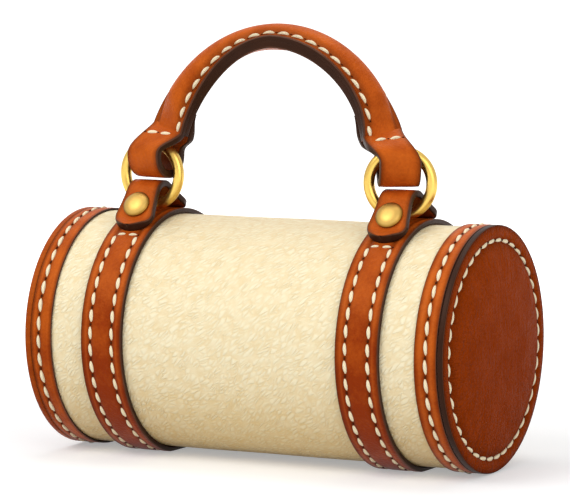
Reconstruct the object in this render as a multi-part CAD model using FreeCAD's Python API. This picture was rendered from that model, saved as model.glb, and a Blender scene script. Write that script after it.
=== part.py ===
import FreeCAD, Part
import math
import os

# Barrel bag: a leather barrel with padded ends, two straps, and a handle that hangs in two rings.
# X runs along the barrel, Y to the back and Z up. The origin is on the floor, under the middle.
# Lengths are in millimetres and angles in degrees. Heights are worked out from the barrel's axis,
# and each piece is lifted by the axis height when it is written.

Vector = FreeCAD.Vector
ORIGIN = Vector(0, 0, 0)
ALONG = Vector(1, 0, 0)
FRONT = Vector(0, -1, 0)
UPWARD = Vector(0, 0, 1)
LEFT, RIGHT = -1, 1
SIDE_NAMES = {LEFT: "left", RIGHT: "right"}

# Fits
glue_gap = 0.1            # between layers that are glued or sewn together
running_gap = 0.35        # between pieces that move past each other
overrun = 6.0             # how far a cutting tool reaches past what it cuts

# Barrel wall, from the outside in
barrel_radius = 60.0
rim_length = 233.4        # between the outer faces of the two end rims
shell_thickness = 2.0
stiffener_thickness = 1.4
lining_thickness = 0.8

# Padded ends and the bands round them
disc_edge = 3.5           # thickness of the painted rim
disc_crown = 3.2          # how far the padding stands out of the rim
disc_margin = 7.5         # flat sewn margin round the padding
disc_skin = 2.2           # leather over the padding
disc_round = 0.8
board_thickness = 1.6
band_width = 12.0
band_thickness = 1.2
band_round = 0.5

# Straps round the barrel
strap_inset = 45.5        # from the end's rim to the middle of a strap
strap_width = 23.2
strap_thickness = 2.8
strap_round = 0.7
strap_flat = 1.2          # depth of the pressed flat that the bag stands on

# Tabs that hold the rings, folded over them and riveted in front and at the back
tab_lean = 10.0           # how far the tabs sit in front of the barrel's top, as an angle
tab_width = 21.4
tab_neck_width = 17.8     # at the fold
tab_waist_radius = 60.0   # of the hollow sides that make the neck
tab_thickness = 3.5
tab_height = 16.2         # from the strap's face to the top of the fold
tab_fold_radius = 6.7     # inside the fold
tab_slope = 45.0          # of the legs, as an angle
tab_toe_radius = 18.1     # hollow bend where a leg comes down on the strap
tab_reach = 22.5          # angle round the barrel from the fold to a leg's end
tab_end_depth = 7.5       # depth of the rounding at a leg's end

# Rivets through the tabs
rivet_run = 9.4           # down the leg from the fold
rivet_cap_diameter = 14.2
rivet_seat_gap = 0.45     # under the cap's rim, because the leg hollows towards its toe
rivet_cap_height = 2.7
rivet_cap_edge = 0.6
rivet_post_diameter = 4.0

# Rings
ring_diameter = 37.4
ring_wire = 5.6
ring_seat_gap = 0.4       # between a ring and the strap under it
ring_inset = 1.0          # the handle draws the rings in from the straps' middles
ring_splay = {LEFT: 3.0, RIGHT: 12.0}

# Handle: a padded cover and a lining, sewn at their edges, with ends turned through the rings
handle_width = 20.4
handle_lining_thickness = 3.8
handle_flange = 2.9       # the cover at its sewn edges
handle_margin = 2.4       # flat width of those edges
handle_dome = 6.2         # how far the padding lifts the cover
cover_skin = 2.4
arch_rise = 61.8          # height of the arch's inner face over its springing
arch_drop = 13.0          # springing below the middle of the rings' upper wire
arch_inset = 10.8         # arch's inner face from the rings' middles
arch_lean = 6.0           # degrees that the arch leans back over the rings
leg_lift = 2.8            # sewn end of the arch over the ring's top
leg_twist = {LEFT: 72.0, RIGHT: 20.0}
end_twist = {LEFT: 78.0, RIGHT: 52.0}
twist_onset = 1.4         # power that starts the twist softly at the arch's top
loop_turn = {LEFT: 12.0, RIGHT: 31.0}
loop_inset = {LEFT: 1.6, RIGHT: 1.0}  # loops' middles from the rings' middles
loop_ply = 4.2
loop_cavity_radius = 8.3
loop_hang = 0.9           # between a loop and the tab's fold under it
loop_shoulder = 4.5       # end of the straight plies below the ring's upper wire
return_length = 14.0      # turned-back end sewn under the arch
dome_fade_share = 0.7     # of the dome that the closing stitches press down at the arch's ends
arch_stations = 8         # from the top of the arch to each end
shoulder_stations = 6
bend_stations = 10

# Zip at the back, behind the straps' tabs
zip_angle = 38.0          # behind the barrel's top
zip_strap_gap = 3.6       # from a strap's inner edge to the slot's end
zip_slot_width = 13.0
tape_width = 11.0
tape_thickness = 0.8
tape_margin = 5.0         # tape past each end of the slot
tooth_pitch = 2.6
tooth_width = 1.4
tooth_length = 2.2
tooth_height = 2.2
bead_width = 0.9
chain_gap = 1.4           # between the two rows, where the slider's web runs
chain_end = 4.0           # from the last tooth to the slot's end
stop_width = 1.8
slider_length = 12.0
slider_open_width = 11.0
slider_shut_width = 9.8
slider_plate = 1.2
slider_web_length = 4.0
slider_rail = 0.6
bail_length = 7.0
bail_width = 2.2
bail_wire = 1.2
bail_height = 3.6
pull_length = 18.0
pull_width = 6.8
pull_thickness = 1.2
pull_frame = 5.2          # open frame at the pull's head
pull_bar_diameter = 1.2
pull_hole_diameter = 3.0

# Worked-out sizes
strap_seat_radius = barrel_radius + glue_gap
strap_radius = strap_seat_radius + strap_thickness
band_radius = strap_seat_radius + band_thickness
axis_height = strap_radius - strap_flat
rim_face = rim_length / 2
rim_back = rim_face - disc_edge
shell_half = rim_back - glue_gap
stiffener_radius = barrel_radius - shell_thickness - glue_gap
lining_radius = stiffener_radius - stiffener_thickness - glue_gap
inner_radius = lining_radius - lining_thickness
board_back = shell_half - board_thickness
padding_radius = band_radius - disc_margin
ring_mid_radius = (ring_diameter - ring_wire) / 2
ring_axis_radius = strap_radius + ring_seat_gap + ring_wire / 2
ring_axis_y = -ring_axis_radius * math.sin(math.radians(tab_lean))
ring_axis_z = ring_axis_radius * math.cos(math.radians(tab_lean))
ring_top_z = ring_axis_z + ring_mid_radius + ring_mid_radius
strap_place = rim_length / 2 - strap_inset
ring_place = strap_place - ring_inset
zip_slot_half = strap_place - strap_width / 2 - zip_strap_gap
zip_slot_length = zip_slot_half + zip_slot_half
fold_outer_radius = tab_fold_radius + tab_thickness
fold_centre_z = strap_radius + tab_height - fold_outer_radius
handle_edge = handle_lining_thickness + handle_flange
arch_half_span = ring_place - arch_inset
arch_base_z = ring_top_z - arch_drop
leg_end_z = ring_top_z + ring_wire / 2 + leg_lift
fold_top_z = fold_centre_z * math.cos(math.radians(tab_lean)) + fold_outer_radius
loop_outer_radius = loop_cavity_radius + loop_ply
loop_bend_z = fold_top_z + loop_hang + loop_outer_radius
chain_half = chain_gap / 2 + tooth_length + bead_width
chain_radius = barrel_radius - shell_thickness - glue_gap - tape_thickness / 2
slider_start = zip_slot_length / 2 - chain_end - stop_width - running_gap - slider_length / 2


def unit(vector):
    """Copy of a vector, one long."""
    return Vector(vector).normalize()


def mixed(first, second, share):
    """Point part of the way from one to another."""
    return first * (1 - share) + second * share


def tube(outer, inner, start, end):
    """Tube round the barrel's axis."""
    place = Vector(start, 0, 0)
    wall = Part.makeCylinder(outer, end - start, place, ALONG)
    return wall.cut(Part.makeCylinder(inner, end - start, place, ALONG))


def rounded_tube(outer, inner, start, end, rounding):
    """Tube round the barrel's axis with its outer edges eased."""
    wall = tube(outer, inner, start, end)
    rims = [edge for edge in wall.Edges if abs(edge.BoundBox.ZMax - outer) < glue_gap and edge.isClosed()]
    return wall.makeFillet(rounding, rims)


def turned(edges):
    """Solid turned round the barrel's axis from a closed line in the XZ plane."""
    face = Part.Face(Part.Wire(edges))
    return face.revolve(ORIGIN, ALONG, 360)


def line(start, end):
    """Straight edge."""
    return Part.LineSegment(start, end).toShape()


def arc(start, middle, end):
    """Arc through three points."""
    return Part.Arc(start, middle, end).toShape()


def closed_wire(points):
    """Closed line through points."""
    return Part.makePolygon(points + points[:1])


def prism(points, direction):
    """Solid swept straight from a closed line."""
    return Part.Face(closed_wire(points)).extrude(direction)


def block(low, high):
    """Box between two corners."""
    size = high - low
    return Part.makeBox(size.x, size.y, size.z, low)


def on_side(shape, side):
    """Right-hand shape, mirrored for the left-hand side."""
    return shape if side == RIGHT else shape.mirror(ORIGIN, ALONG)


def leaned(shape):
    """Shape made at the barrel's top, turned forward to the tabs' place."""
    return shape.rotated(ORIGIN, ALONG, tab_lean)


def at_zip(shape):
    """Shape made at the barrel's top, turned back to the zip's place."""
    return shape.rotated(ORIGIN, ALONG, -zip_angle)


def slot_cutter(length, width, outer, inner):
    """Round-ended cutter that goes through the wall at the zip."""
    low = Vector(-length / 2 + width / 2, -width / 2, inner)
    high = Vector(length / 2 - width / 2, width / 2, outer)
    cutter = block(low, high)
    for end in (low.x, high.x):
        cutter = cutter.fuse(Part.makeCylinder(width / 2, outer - inner, Vector(end, 0, inner)))
    return at_zip(cutter)


def rivet_frame(end):
    """Seat of a rivet on a tab's leg, and its outward direction; end is -1 in front and 1 behind."""
    slope = math.radians(tab_slope)
    outward = Vector(0, end * math.sin(slope), math.cos(slope))
    down_leg = Vector(0, end * math.cos(slope), -math.sin(slope))
    seat = Vector(0, 0, fold_centre_z) + outward * fold_outer_radius + down_leg * rivet_run
    return seat, outward


def rivet_shaft(end, diameter, reach):
    """Round shaft along a rivet, from its seat inwards."""
    seat, outward = rivet_frame(end)
    return Part.makeCylinder(diameter / 2, reach + rivet_seat_gap, seat + outward * rivet_seat_gap, -outward)


def rivet_reach():
    """Depth from a rivet's seat to the inside of the shell, along the rivet."""
    seat, outward = rivet_frame(LEFT)
    along = seat.dot(outward)
    across = seat.sub(outward * along).Length
    bottom = barrel_radius - shell_thickness
    return along - math.sqrt(bottom * bottom - across * across)


def rivet_holes(side):
    """Clearance holes for the two rivets of one tab."""
    diameter = rivet_post_diameter + glue_gap + glue_gap
    reach = rivet_reach() + overrun
    holes = [leaned(rivet_shaft(end, diameter, reach)) for end in (-1, 1)]
    return holes[0].fuse(holes[1]).translated(Vector(side * strap_place, 0, 0))


def body_shell():
    """Leather wall of the barrel, slotted for the zip."""
    wall = tube(barrel_radius, barrel_radius - shell_thickness, -shell_half, shell_half)
    wall = wall.cut(slot_cutter(zip_slot_length, zip_slot_width, barrel_radius + overrun, 0))
    return wall.cut(rivet_holes(LEFT)).cut(rivet_holes(RIGHT))


def zip_window(wall):
    """Inner layer of the barrel, cut away round the zip's tapes."""
    length = zip_slot_length + tape_margin + tape_margin + tape_margin
    span = chain_half + tape_width + glue_gap
    width = span + span + glue_gap + glue_gap
    return wall.cut(at_zip(block(Vector(-length / 2, -width / 2, 0),
                                 Vector(length / 2, width / 2, barrel_radius + overrun))))


def body_stiffener():
    """Board tube that keeps the barrel round."""
    wall = tube(stiffener_radius, stiffener_radius - stiffener_thickness, -shell_half, shell_half)
    return zip_window(wall)


def body_lining():
    """Cloth tube inside the barrel."""
    half = board_back - glue_gap - lining_thickness - glue_gap
    return zip_window(tube(lining_radius, inner_radius, -half, half))


def crown_arc(edge_x, apex_x, radius):
    """Arc of a padded end, from its sewn margin to its middle."""
    rise = apex_x - edge_x
    ball = (radius * radius + rise * rise) / (rise + rise)
    half = radius / 2
    middle_x = apex_x - ball + math.sqrt(ball * ball - half * half)
    return arc(Vector(edge_x, 0, radius), Vector(middle_x, 0, half), Vector(apex_x, 0, 0))


def end_disc(side):
    """Padded leather end with a flat sewn margin and a thick painted rim."""
    apex = rim_face + disc_crown
    ease = disc_round * (1 - math.sqrt(0.5))
    edges = [
        line(Vector(rim_back, 0, padding_radius), Vector(rim_back, 0, band_radius)),
        line(Vector(rim_back, 0, band_radius), Vector(rim_face - disc_round, 0, band_radius)),
        arc(Vector(rim_face - disc_round, 0, band_radius), Vector(rim_face - ease, 0, band_radius - ease),
            Vector(rim_face, 0, band_radius - disc_round)),
        line(Vector(rim_face, 0, band_radius - disc_round), Vector(rim_face, 0, padding_radius)),
        crown_arc(rim_face, apex, padding_radius),
        line(Vector(apex, 0, 0), Vector(apex - disc_skin, 0, 0)),
        crown_arc(rim_back, apex - disc_skin, padding_radius),
    ]
    return on_side(turned(Part.sortEdges(edges)[0]), side)


def end_foam(side):
    """Padding under the leather of an end."""
    apex = rim_face + disc_crown - disc_skin - glue_gap
    radius = padding_radius - disc_skin
    edges = [
        crown_arc(rim_back, apex, radius),
        line(Vector(apex, 0, 0), Vector(rim_back, 0, 0)),
        line(Vector(rim_back, 0, 0), Vector(rim_back, 0, radius)),
    ]
    return on_side(turned(Part.sortEdges(edges)[0]), side)


def end_board(side):
    """Stiff disc behind the padding."""
    board = Part.makeCylinder(lining_radius, board_thickness, Vector(board_back, 0, 0), ALONG)
    return on_side(board, side)


def end_lining(side):
    """Cloth disc over the board, inside the bag."""
    start = Vector(board_back - glue_gap - lining_thickness, 0, 0)
    return on_side(Part.makeCylinder(lining_radius, lining_thickness, start, ALONG), side)


def end_band(side):
    """Leather band round an end of the barrel."""
    band = rounded_tube(band_radius, strap_seat_radius, shell_half - band_width, shell_half, band_round)
    return on_side(band, side)


def strap(side):
    """Leather strap round the barrel, pressed flat where the bag stands."""
    half = strap_width / 2
    start = strap_place - half
    loop = rounded_tube(strap_radius, strap_seat_radius, start, start + strap_width, strap_round)
    floor = block(Vector(0, -strap_radius, -strap_radius - overrun),
                  Vector(rim_length, strap_radius, -axis_height))
    return on_side(loop.cut(floor).cut(rivet_holes(RIGHT)), side)


def tab_points(offset):
    """Corners of one face of a tab's front leg: end, toe's start and end, and fold's start."""
    slope = math.radians(tab_slope)
    normal = Vector(0, -math.sin(slope), math.cos(slope))
    fold = Vector(0, 0, fold_centre_z)
    ply_radius = strap_radius + glue_gap + tab_thickness / 2
    fold_radius = fold_outer_radius - tab_thickness / 2
    toe_centre_radius = ply_radius + tab_toe_radius
    level = normal.dot(fold) + fold_radius + tab_toe_radius
    toe = slope - math.acos(level / toe_centre_radius)
    reach = math.radians(tab_reach)
    turn = (slope + toe) / 2

    def around(angle, radius):
        return Vector(0, -math.sin(angle), math.cos(angle)) * radius

    toe_centre = around(toe, toe_centre_radius)
    toe_radius = tab_toe_radius - offset
    return {
        "end": around(reach, ply_radius + offset),
        "sole": around((reach + toe) / 2, ply_radius + offset),
        "toe": around(toe, ply_radius + offset),
        "bend": toe_centre - around(turn, toe_radius),
        "heel": toe_centre - normal * toe_radius,
        "fold": fold + normal * (fold_radius + offset),
        "top": fold + UPWARD * (fold_radius + offset),
    }


def tab_face_edges(offset):
    """One face of a folded tab, from its front end to its back end."""
    front = tab_points(offset)
    back = {name: Vector(0, -point.y, point.z) for name, point in front.items()}
    return [
        arc(front["end"], front["sole"], front["toe"]),
        arc(front["toe"], front["bend"], front["heel"]),
        line(front["heel"], front["fold"]),
        arc(front["fold"], front["top"], back["fold"]),
        line(back["fold"], back["heel"]),
        arc(back["heel"], back["bend"], back["toe"]),
        arc(back["toe"], back["sole"], back["end"]),
    ]


def tab_end_cutter(end):
    """Cutter that rounds a tab's end as seen square to the leather."""
    half = tab_width / 2
    place = math.radians(tab_reach) - tab_end_depth / strap_radius
    low = Vector(-half - overrun, 0, 0)
    high = Vector(half + overrun, half + overrun, strap_radius + tab_height)
    oval = Part.Face(Part.Wire(Part.Ellipse(ORIGIN, half, tab_end_depth).toShape()))
    corner = block(low, high).cut(oval.extrude(UPWARD * high.z))
    cutter = corner.rotated(ORIGIN, ALONG, -math.degrees(place))
    return cutter if end > 0 else cutter.mirror(ORIGIN, FRONT)


def tab_waist_cutter(end):
    """Round cutter that hollows one side of a tab to its neck at the fold."""
    place = Vector(end * (tab_neck_width / 2 + tab_waist_radius), -strap_radius, strap_radius + tab_height)
    return Part.makeCylinder(tab_waist_radius, strap_radius + strap_radius, place, -FRONT)


def ring_tab(side):
    """Leather tab folded over a ring, with round ends and two rivet holes."""
    half = tab_thickness / 2
    outer, inner = tab_points(half)["end"], tab_points(-half)["end"]
    edges = tab_face_edges(half) + tab_face_edges(-half)
    edges += [line(outer, inner), line(Vector(0, -outer.y, outer.z), Vector(0, -inner.y, inner.z))]
    face = Part.Face(Part.Wire(Part.sortEdges(edges)[0]))
    tab = face.extrude(ALONG * tab_width).translated(Vector(-tab_width / 2, 0, 0))
    for end in (-1, 1):
        tab = tab.cut(tab_end_cutter(end)).cut(tab_waist_cutter(end))
    tab = leaned(tab).translated(Vector(strap_place, 0, 0)).cut(rivet_holes(RIGHT))
    return on_side(tab, side)


def rivet_cap():
    """Domed rivet cap, standing up at the origin."""
    radius = rivet_cap_diameter / 2
    rise = rivet_cap_height - rivet_cap_edge
    ball = (radius * radius + rise * rise) / (rise + rise)
    half = radius / 2
    middle_z = rivet_cap_height - ball + math.sqrt(ball * ball - half * half)
    edges = [
        line(ORIGIN, Vector(radius, 0, 0)),
        line(Vector(radius, 0, 0), Vector(radius, 0, rivet_cap_edge)),
        arc(Vector(radius, 0, rivet_cap_edge), Vector(half, 0, middle_z), Vector(0, 0, rivet_cap_height)),
        line(Vector(0, 0, rivet_cap_height), ORIGIN),
    ]
    return Part.Face(Part.Wire(edges)).revolve(ORIGIN, UPWARD, 360)


def rivet_caps(side):
    """The two caps of one tab's rivets."""
    caps = []
    for end in (-1, 1):
        seat, outward = rivet_frame(end)
        cap = rivet_cap()
        cap.Placement = FreeCAD.Placement(seat + outward * rivet_seat_gap, FreeCAD.Rotation(UPWARD, outward))
        caps.append(leaned(cap).translated(Vector(side * strap_place, 0, 0)))
    return Part.makeCompound(caps)


def rivet_posts(side):
    """The two posts that run from the caps through tab, strap and shell."""
    reach = rivet_reach() + overrun
    inside = Part.makeCylinder(barrel_radius - shell_thickness, strap_width, Vector(-strap_width / 2, 0, 0), ALONG)
    posts = [leaned(rivet_shaft(end, rivet_post_diameter, reach)).cut(inside) for end in (-1, 1)]
    return Part.makeCompound(posts).translated(Vector(side * strap_place, 0, 0))


def ring(side):
    """Round wire ring that stands in its tab."""
    wire = Part.makeTorus(ring_mid_radius, ring_wire / 2, ORIGIN, FRONT)
    wire = wire.rotated(ORIGIN, UPWARD, side * ring_splay[side])
    return wire.translated(Vector(side * ring_place, ring_axis_y, ring_axis_z + ring_mid_radius))


def arch_end_angle():
    """Angle from the arch's top to its sewn ends."""
    return math.acos((leg_end_z - arch_base_z) / arch_rise)


def arch_frame(side, angle):
    """Middle of the sewn edge, outward and sideways directions of the handle at an angle from its top.

    The outer face looks up at the top and turns to the front down the legs.
    """
    share = angle / arch_end_angle()
    twist = leg_twist[side] * math.sin(share * math.pi / 2) ** twist_onset
    twist = math.radians(twist + (end_twist[side] - leg_twist[side]) * share ** 8)
    inner = Vector(side * arch_half_span * math.sin(angle), 0, arch_base_z - ring_top_z + arch_rise * math.cos(angle))
    away = unit(Vector(side * arch_rise * math.sin(angle), 0, arch_half_span * math.cos(angle)))
    outward = away * math.cos(twist) + FRONT * math.sin(twist)
    sideways = FRONT * math.cos(twist) - away * math.sin(twist)
    lean = FreeCAD.Rotation(ALONG, -arch_lean)
    middle = Vector(0, ring_axis_y, ring_top_z) + lean.multVec(inner + away * (handle_edge / 2))
    return middle, lean.multVec(outward), lean.multVec(sideways)


def arch_angles():
    """Signed angles of the arch's stations, from the left end to the right end."""
    step = arch_end_angle() / arch_stations
    return [(RIGHT if k >= 0 else LEFT, abs(k) * step) for k in range(-arch_stations, arch_stations + 1)]


def arch_loft(section):
    """Solid through the sections along the arch."""
    wires = []
    for side, angle in arch_angles():
        middle, outward, sideways = arch_frame(side, angle)
        share = angle / arch_end_angle()

        def place(across, height):
            """Point at a width from the middle and a height over the inner face."""
            return middle + sideways * across + outward * (height - handle_edge / 2)

        wires.append(section(place, handle_dome * (1 - dome_fade_share * share ** 6)))
    return Part.makeLoft(wires, True)


def cover_section(place, dome):
    """Section of the cover: two flat sewn edges and a dome between them."""
    half = handle_width / 2
    dome_half = half - handle_margin
    bottom = handle_lining_thickness + glue_gap
    top = handle_edge
    inside = dome_half - cover_skin / 2
    ceiling = max(top + dome - cover_skin, bottom + glue_gap)
    return Part.Wire([
        line(place(-half, bottom), place(-half, top)),
        line(place(-half, top), place(-dome_half, top)),
        arc(place(-dome_half, top), place(0, top + dome), place(dome_half, top)),
        line(place(dome_half, top), place(half, top)),
        line(place(half, top), place(half, bottom)),
        line(place(half, bottom), place(inside, bottom)),
        arc(place(inside, bottom), place(0, ceiling), place(-inside, bottom)),
        line(place(-inside, bottom), place(-half, bottom)),
    ])


def core_section(place, dome):
    """Section of the filler under the cover."""
    bottom = handle_lining_thickness + glue_gap
    inside = handle_width / 2 - handle_margin - cover_skin / 2 - glue_gap - glue_gap
    ceiling = handle_edge + dome - cover_skin - glue_gap - glue_gap
    return Part.Wire([
        arc(place(-inside, bottom), place(0, ceiling), place(inside, bottom)),
        line(place(inside, bottom), place(-inside, bottom)),
    ])


def lining_section(place, dome):
    """Section of the strip along the inside of the arch."""
    half = handle_width / 2
    top = handle_lining_thickness
    return closed_wire([place(-half, 0), place(half, 0), place(half, top), place(-half, top)])


def loop_frame(side):
    """Middle of a loop's bend, and its outward and sideways directions."""
    turn = math.radians(loop_turn[side])
    outward = Vector(side * math.sin(turn), -math.cos(turn), 0)
    sideways = Vector(-side * math.cos(turn), -math.sin(turn), 0)
    place = side * (ring_place - loop_inset[side])
    return Vector(place, ring_axis_y, loop_bend_z), outward, sideways


def shoulder(start, end, outward, start_sideways, end_sideways):
    """Ply where the sewn arch opens out into the loop, from arch to loop: its middles and sideways directions."""
    step = end - start
    opening = outward * step.dot(outward)
    drop = UPWARD * step.dot(UPWARD)
    shift = step - opening - drop
    stations = []
    for k in range(shoulder_stations):
        share = k / shoulder_stations
        eased = share * share * (3 - share - share)
        opened = 1 - (1 - share) ** 3
        middle = start + opening * opened + shift * eased + drop * share
        stations.append((middle, unit(mixed(start_sideways, end_sideways, eased))))
    return stations


def loop_path(side):
    """Stations of a turned end's ply: middle, sideways direction and the direction into the loop."""
    bend, outward, sideways = loop_frame(side)
    reach = loop_cavity_radius + loop_ply / 2
    straight = UPWARD * (ring_top_z - loop_shoulder - loop_bend_z)
    end_angle = arch_end_angle()
    middle, leg_outward, leg_sideways = arch_frame(side, end_angle)
    under = leg_outward.cross(leg_sideways) * side * running_gap
    front_height = (handle_edge - loop_ply) / 2
    back_height = handle_edge / 2 + running_gap + loop_ply / 2
    front_top = bend + straight + outward * reach
    back_top = bend + straight - outward * reach
    stations = shoulder(middle + leg_outward * front_height + under, front_top, outward, leg_sideways, sideways)
    stations.append((front_top, sideways))
    for k in range(bend_stations + 1):
        angle = math.pi * k / bend_stations
        point = bend + outward * (reach * math.cos(angle)) - UPWARD * (reach * math.sin(angle))
        stations.append((point, sideways))
    stations.append((back_top, sideways))
    stations += reversed(shoulder(middle - leg_outward * back_height, back_top, outward, leg_sideways, sideways))
    for k in (1, 2):
        angle = end_angle - k * return_length / 2 / arch_rise
        middle, leg_away, leg_sideways = arch_frame(side, angle)
        stations.append((middle - leg_away * back_height, leg_sideways))
    path = []
    for k, (point, across) in enumerate(stations):
        before = stations[max(k - 1, 0)][0]
        after = stations[min(k + 1, len(stations) - 1)][0]
        inward = -leg_outward if k == 0 else unit(across.cross(after - before) * -side)
        path.append((point, across, inward))
    return path


def handle_loop(side):
    """Turned end of the handle: down in front of the ring, round under its wire and up behind."""
    wires = []
    for point, sideways, inward in loop_path(side):
        half = sideways * (handle_width / 2)
        depth = inward * (loop_ply / 2)
        wires.append(closed_wire([point - half - depth, point + half - depth,
                                  point + half + depth, point - half + depth]))
    return Part.makeLoft(wires, True, True)


def tape(end):
    """Cloth tape along one side of the zip; end is -1 above and 1 below."""
    outer = barrel_radius - shell_thickness - glue_gap
    half = zip_slot_length / 2 + tape_margin
    start = math.degrees((chain_half + glue_gap) / outer)
    span = math.degrees(tape_width / outer)
    strip = Part.Face(closed_wire([Vector(-half, 0, outer - tape_thickness), Vector(half, 0, outer - tape_thickness),
                                   Vector(half, 0, outer), Vector(-half, 0, outer)]))
    strip = strip.rotated(ORIGIN, ALONG, -start).revolve(ORIGIN, ALONG, -span)
    return at_zip(strip if end > 0 else strip.mirror(ORIGIN, FRONT))


def teeth(end):
    """One row of zip teeth on its bead."""
    half = zip_slot_length / 2 - chain_end
    tip = chain_gap / 2
    root = tip + tooth_length
    count = int((half + half) / tooth_pitch)
    points = [Vector(-half, chain_half, 0), Vector(-half, root, 0)]
    for k in range(count):
        left = -half + (k + 0.5) * tooth_pitch - tooth_width / 2
        points += [Vector(left, root, 0), Vector(left, tip, 0)]
        points += [Vector(left + tooth_width, tip, 0), Vector(left + tooth_width, root, 0)]
    points += [Vector(half, root, 0), Vector(half, chain_half, 0)]
    row = prism(points, UPWARD * tooth_height)
    row = row.translated(Vector(0, 0, chain_radius - tooth_height / 2))
    return at_zip(row if end > 0 else row.mirror(ORIGIN, FRONT))


def zip_stops():
    """Stops at the ends of the zip: one on each row, and one across both."""
    start = zip_slot_length / 2 - chain_end - stop_width
    low_z = chain_radius + tooth_height / 2 + glue_gap
    high_z = low_z + slider_plate
    root = chain_gap / 2 + running_gap
    stops = [block(Vector(-start - stop_width, -chain_half, low_z), Vector(-start, chain_half, high_z)),
             block(Vector(start, root, low_z), Vector(start + stop_width, chain_half, high_z)),
             block(Vector(start, -chain_half, low_z), Vector(start + stop_width, -root, high_z))]
    return at_zip(Part.makeCompound(stops))


def slider_plate_shape(low_z):
    """One plate of the slider, wider at its open end."""
    half = slider_length / 2
    shut, opened = slider_shut_width / 2, slider_open_width / 2
    nose = slider_length / 4
    points = [Vector(-half, -shut, low_z), Vector(half - nose, -opened, low_z), Vector(half, -shut, low_z),
              Vector(half, shut, low_z), Vector(half - nose, opened, low_z), Vector(-half, shut, low_z)]
    return prism(points, UPWARD * slider_plate)


def slider_bail():
    """Small bridge on the slider that carries the pull."""
    half = bail_length / 2
    base = chain_radius + tooth_height / 2 + running_gap + slider_plate
    crown = base + bail_height
    corner = bail_wire + bail_wire / 2
    outline = [Vector(-half, 0, base), Vector(-half, 0, crown - corner), Vector(-half + corner, 0, crown),
               Vector(half - corner, 0, crown), Vector(half, 0, crown - corner), Vector(half, 0, base)]
    bail = prism(outline, Vector(0, bail_width, 0))
    hole = block(Vector(-half + bail_wire, 0, base), Vector(half - bail_wire, bail_width, crown - bail_wire))
    return bail.cut(hole).translated(Vector(0, -bail_width / 2, 0))


def zip_slider():
    """Slider: two plates, rails beside the chain, a web between the rows and a bail on top."""
    top = chain_radius + tooth_height / 2 + running_gap
    bottom = chain_radius - tooth_height / 2 - running_gap
    half = slider_length / 2
    web = chain_gap / 2 - running_gap
    rail = chain_half + running_gap
    grip = tape_thickness / 2 + running_gap
    body = slider_plate_shape(top).fuse(slider_plate_shape(bottom - slider_plate))
    body = body.fuse(block(Vector(half - slider_web_length, -web, bottom), Vector(half, web, top)))
    for end in (-1, 1):
        inner, outer = sorted((end * rail, end * (rail + slider_rail)))
        body = body.fuse(block(Vector(-half, inner, chain_radius + grip), Vector(half, outer, top)))
    body = body.fuse(slider_bail()).removeSplitter()
    return at_zip(body.translated(Vector(slider_start, 0, 0)))


def pull_height():
    """Height of the pull's bar over the barrel's axis, before the turn to the zip."""
    base = chain_radius + tooth_height / 2 + running_gap + slider_plate
    return base + running_gap + math.hypot(pull_thickness / 2, pull_bar_diameter / 2)


def zip_pull():
    """Flat pull with an open frame at its head, whose bar runs through the slider's bail."""
    half = pull_width / 2
    thick = pull_thickness / 2
    arm = bail_width / 2 + running_gap
    bar = pull_bar_diameter / 2
    tip = half / 2
    outline = [Vector(bar, -half, -thick), Vector(bar, half, -thick), Vector(-pull_length + tip, half, -thick),
               Vector(-pull_length, half - tip, -thick), Vector(-pull_length, -half + tip, -thick),
               Vector(-pull_length + tip, -half, -thick)]
    plate = prism(outline, UPWARD * pull_thickness)
    plate = plate.cut(block(Vector(-pull_frame, -arm, -pull_thickness), Vector(bar + overrun, arm, pull_thickness)))
    hole_place = Vector(-pull_length + half, 0, -pull_thickness)
    plate = plate.cut(Part.makeCylinder(pull_hole_diameter / 2, pull_thickness + pull_thickness, hole_place))
    pull = plate.fuse(Part.makeCylinder(bar, pull_width, Vector(0, -half, 0), Vector(0, 1, 0)))
    return at_zip(pull.translated(Vector(slider_start, 0, pull_height())))


def pieces():
    """Every piece of the bag by its node name, round the barrel's axis."""
    made = {
        "body_shell": body_shell(),
        "body_stiffener": body_stiffener(),
        "body_lining": body_lining(),
        "handle_cover": arch_loft(cover_section),
        "handle_core": arch_loft(core_section),
        "handle_lining": arch_loft(lining_section),
        "zip_upper_tape": tape(-1),
        "zip_lower_tape": tape(1),
        "zip_upper_teeth": teeth(-1),
        "zip_lower_teeth": teeth(1),
        "zip_stops": zip_stops(),
        "zip_slider": zip_slider(),
        "zip_pull": zip_pull(),
    }
    paired = {
        "end_disc": end_disc, "end_foam": end_foam, "end_board": end_board, "end_lining": end_lining,
        "end_band": end_band, "strap": strap, "ring_tab": ring_tab, "rivet_caps": rivet_caps,
        "rivet_posts": rivet_posts, "ring": ring,
    }
    for side, name in SIDE_NAMES.items():
        for piece, make in paired.items():
            made[name + "_" + piece] = make(side)
        made["handle_" + name + "_loop"] = handle_loop(side)
    return made


def write_all():
    """Write each piece to its own file, lifted so that the bag stands on the floor."""
    os.makedirs("parts", exist_ok=True)
    for name, shape in sorted(pieces().items()):
        lifted = shape.translated(Vector(0, 0, axis_height))
        lifted.exportStep("parts/" + name + ".step")
        print(name, "valid" if lifted.isValid() else "not valid", len(lifted.Solids), round(lifted.Volume))


write_all()
print("ring axis", ring_axis_y, axis_height + ring_axis_z, "handle axis", axis_height + ring_top_z)
print("slider", slider_start, "pull bar", pull_height(), "axis height", axis_height)
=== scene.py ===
"""Looks of a leather barrel bag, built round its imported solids.

Sizes are in millimetres and angles in radians where nothing else is said, and the other numbers of a finish
are shares. Places are given round the barrel's axis. A mesh is lifted to the floor and turned into metres
when it becomes an object, so that every object sits at the origin of the shared frame.
"""

import logging
from dataclasses import dataclass
from enum import Enum
from math import acos, asin, atan2, copysign, cos, exp, hypot, pi, radians, sin, sqrt
from typing import Callable, Iterable, Sequence

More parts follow.
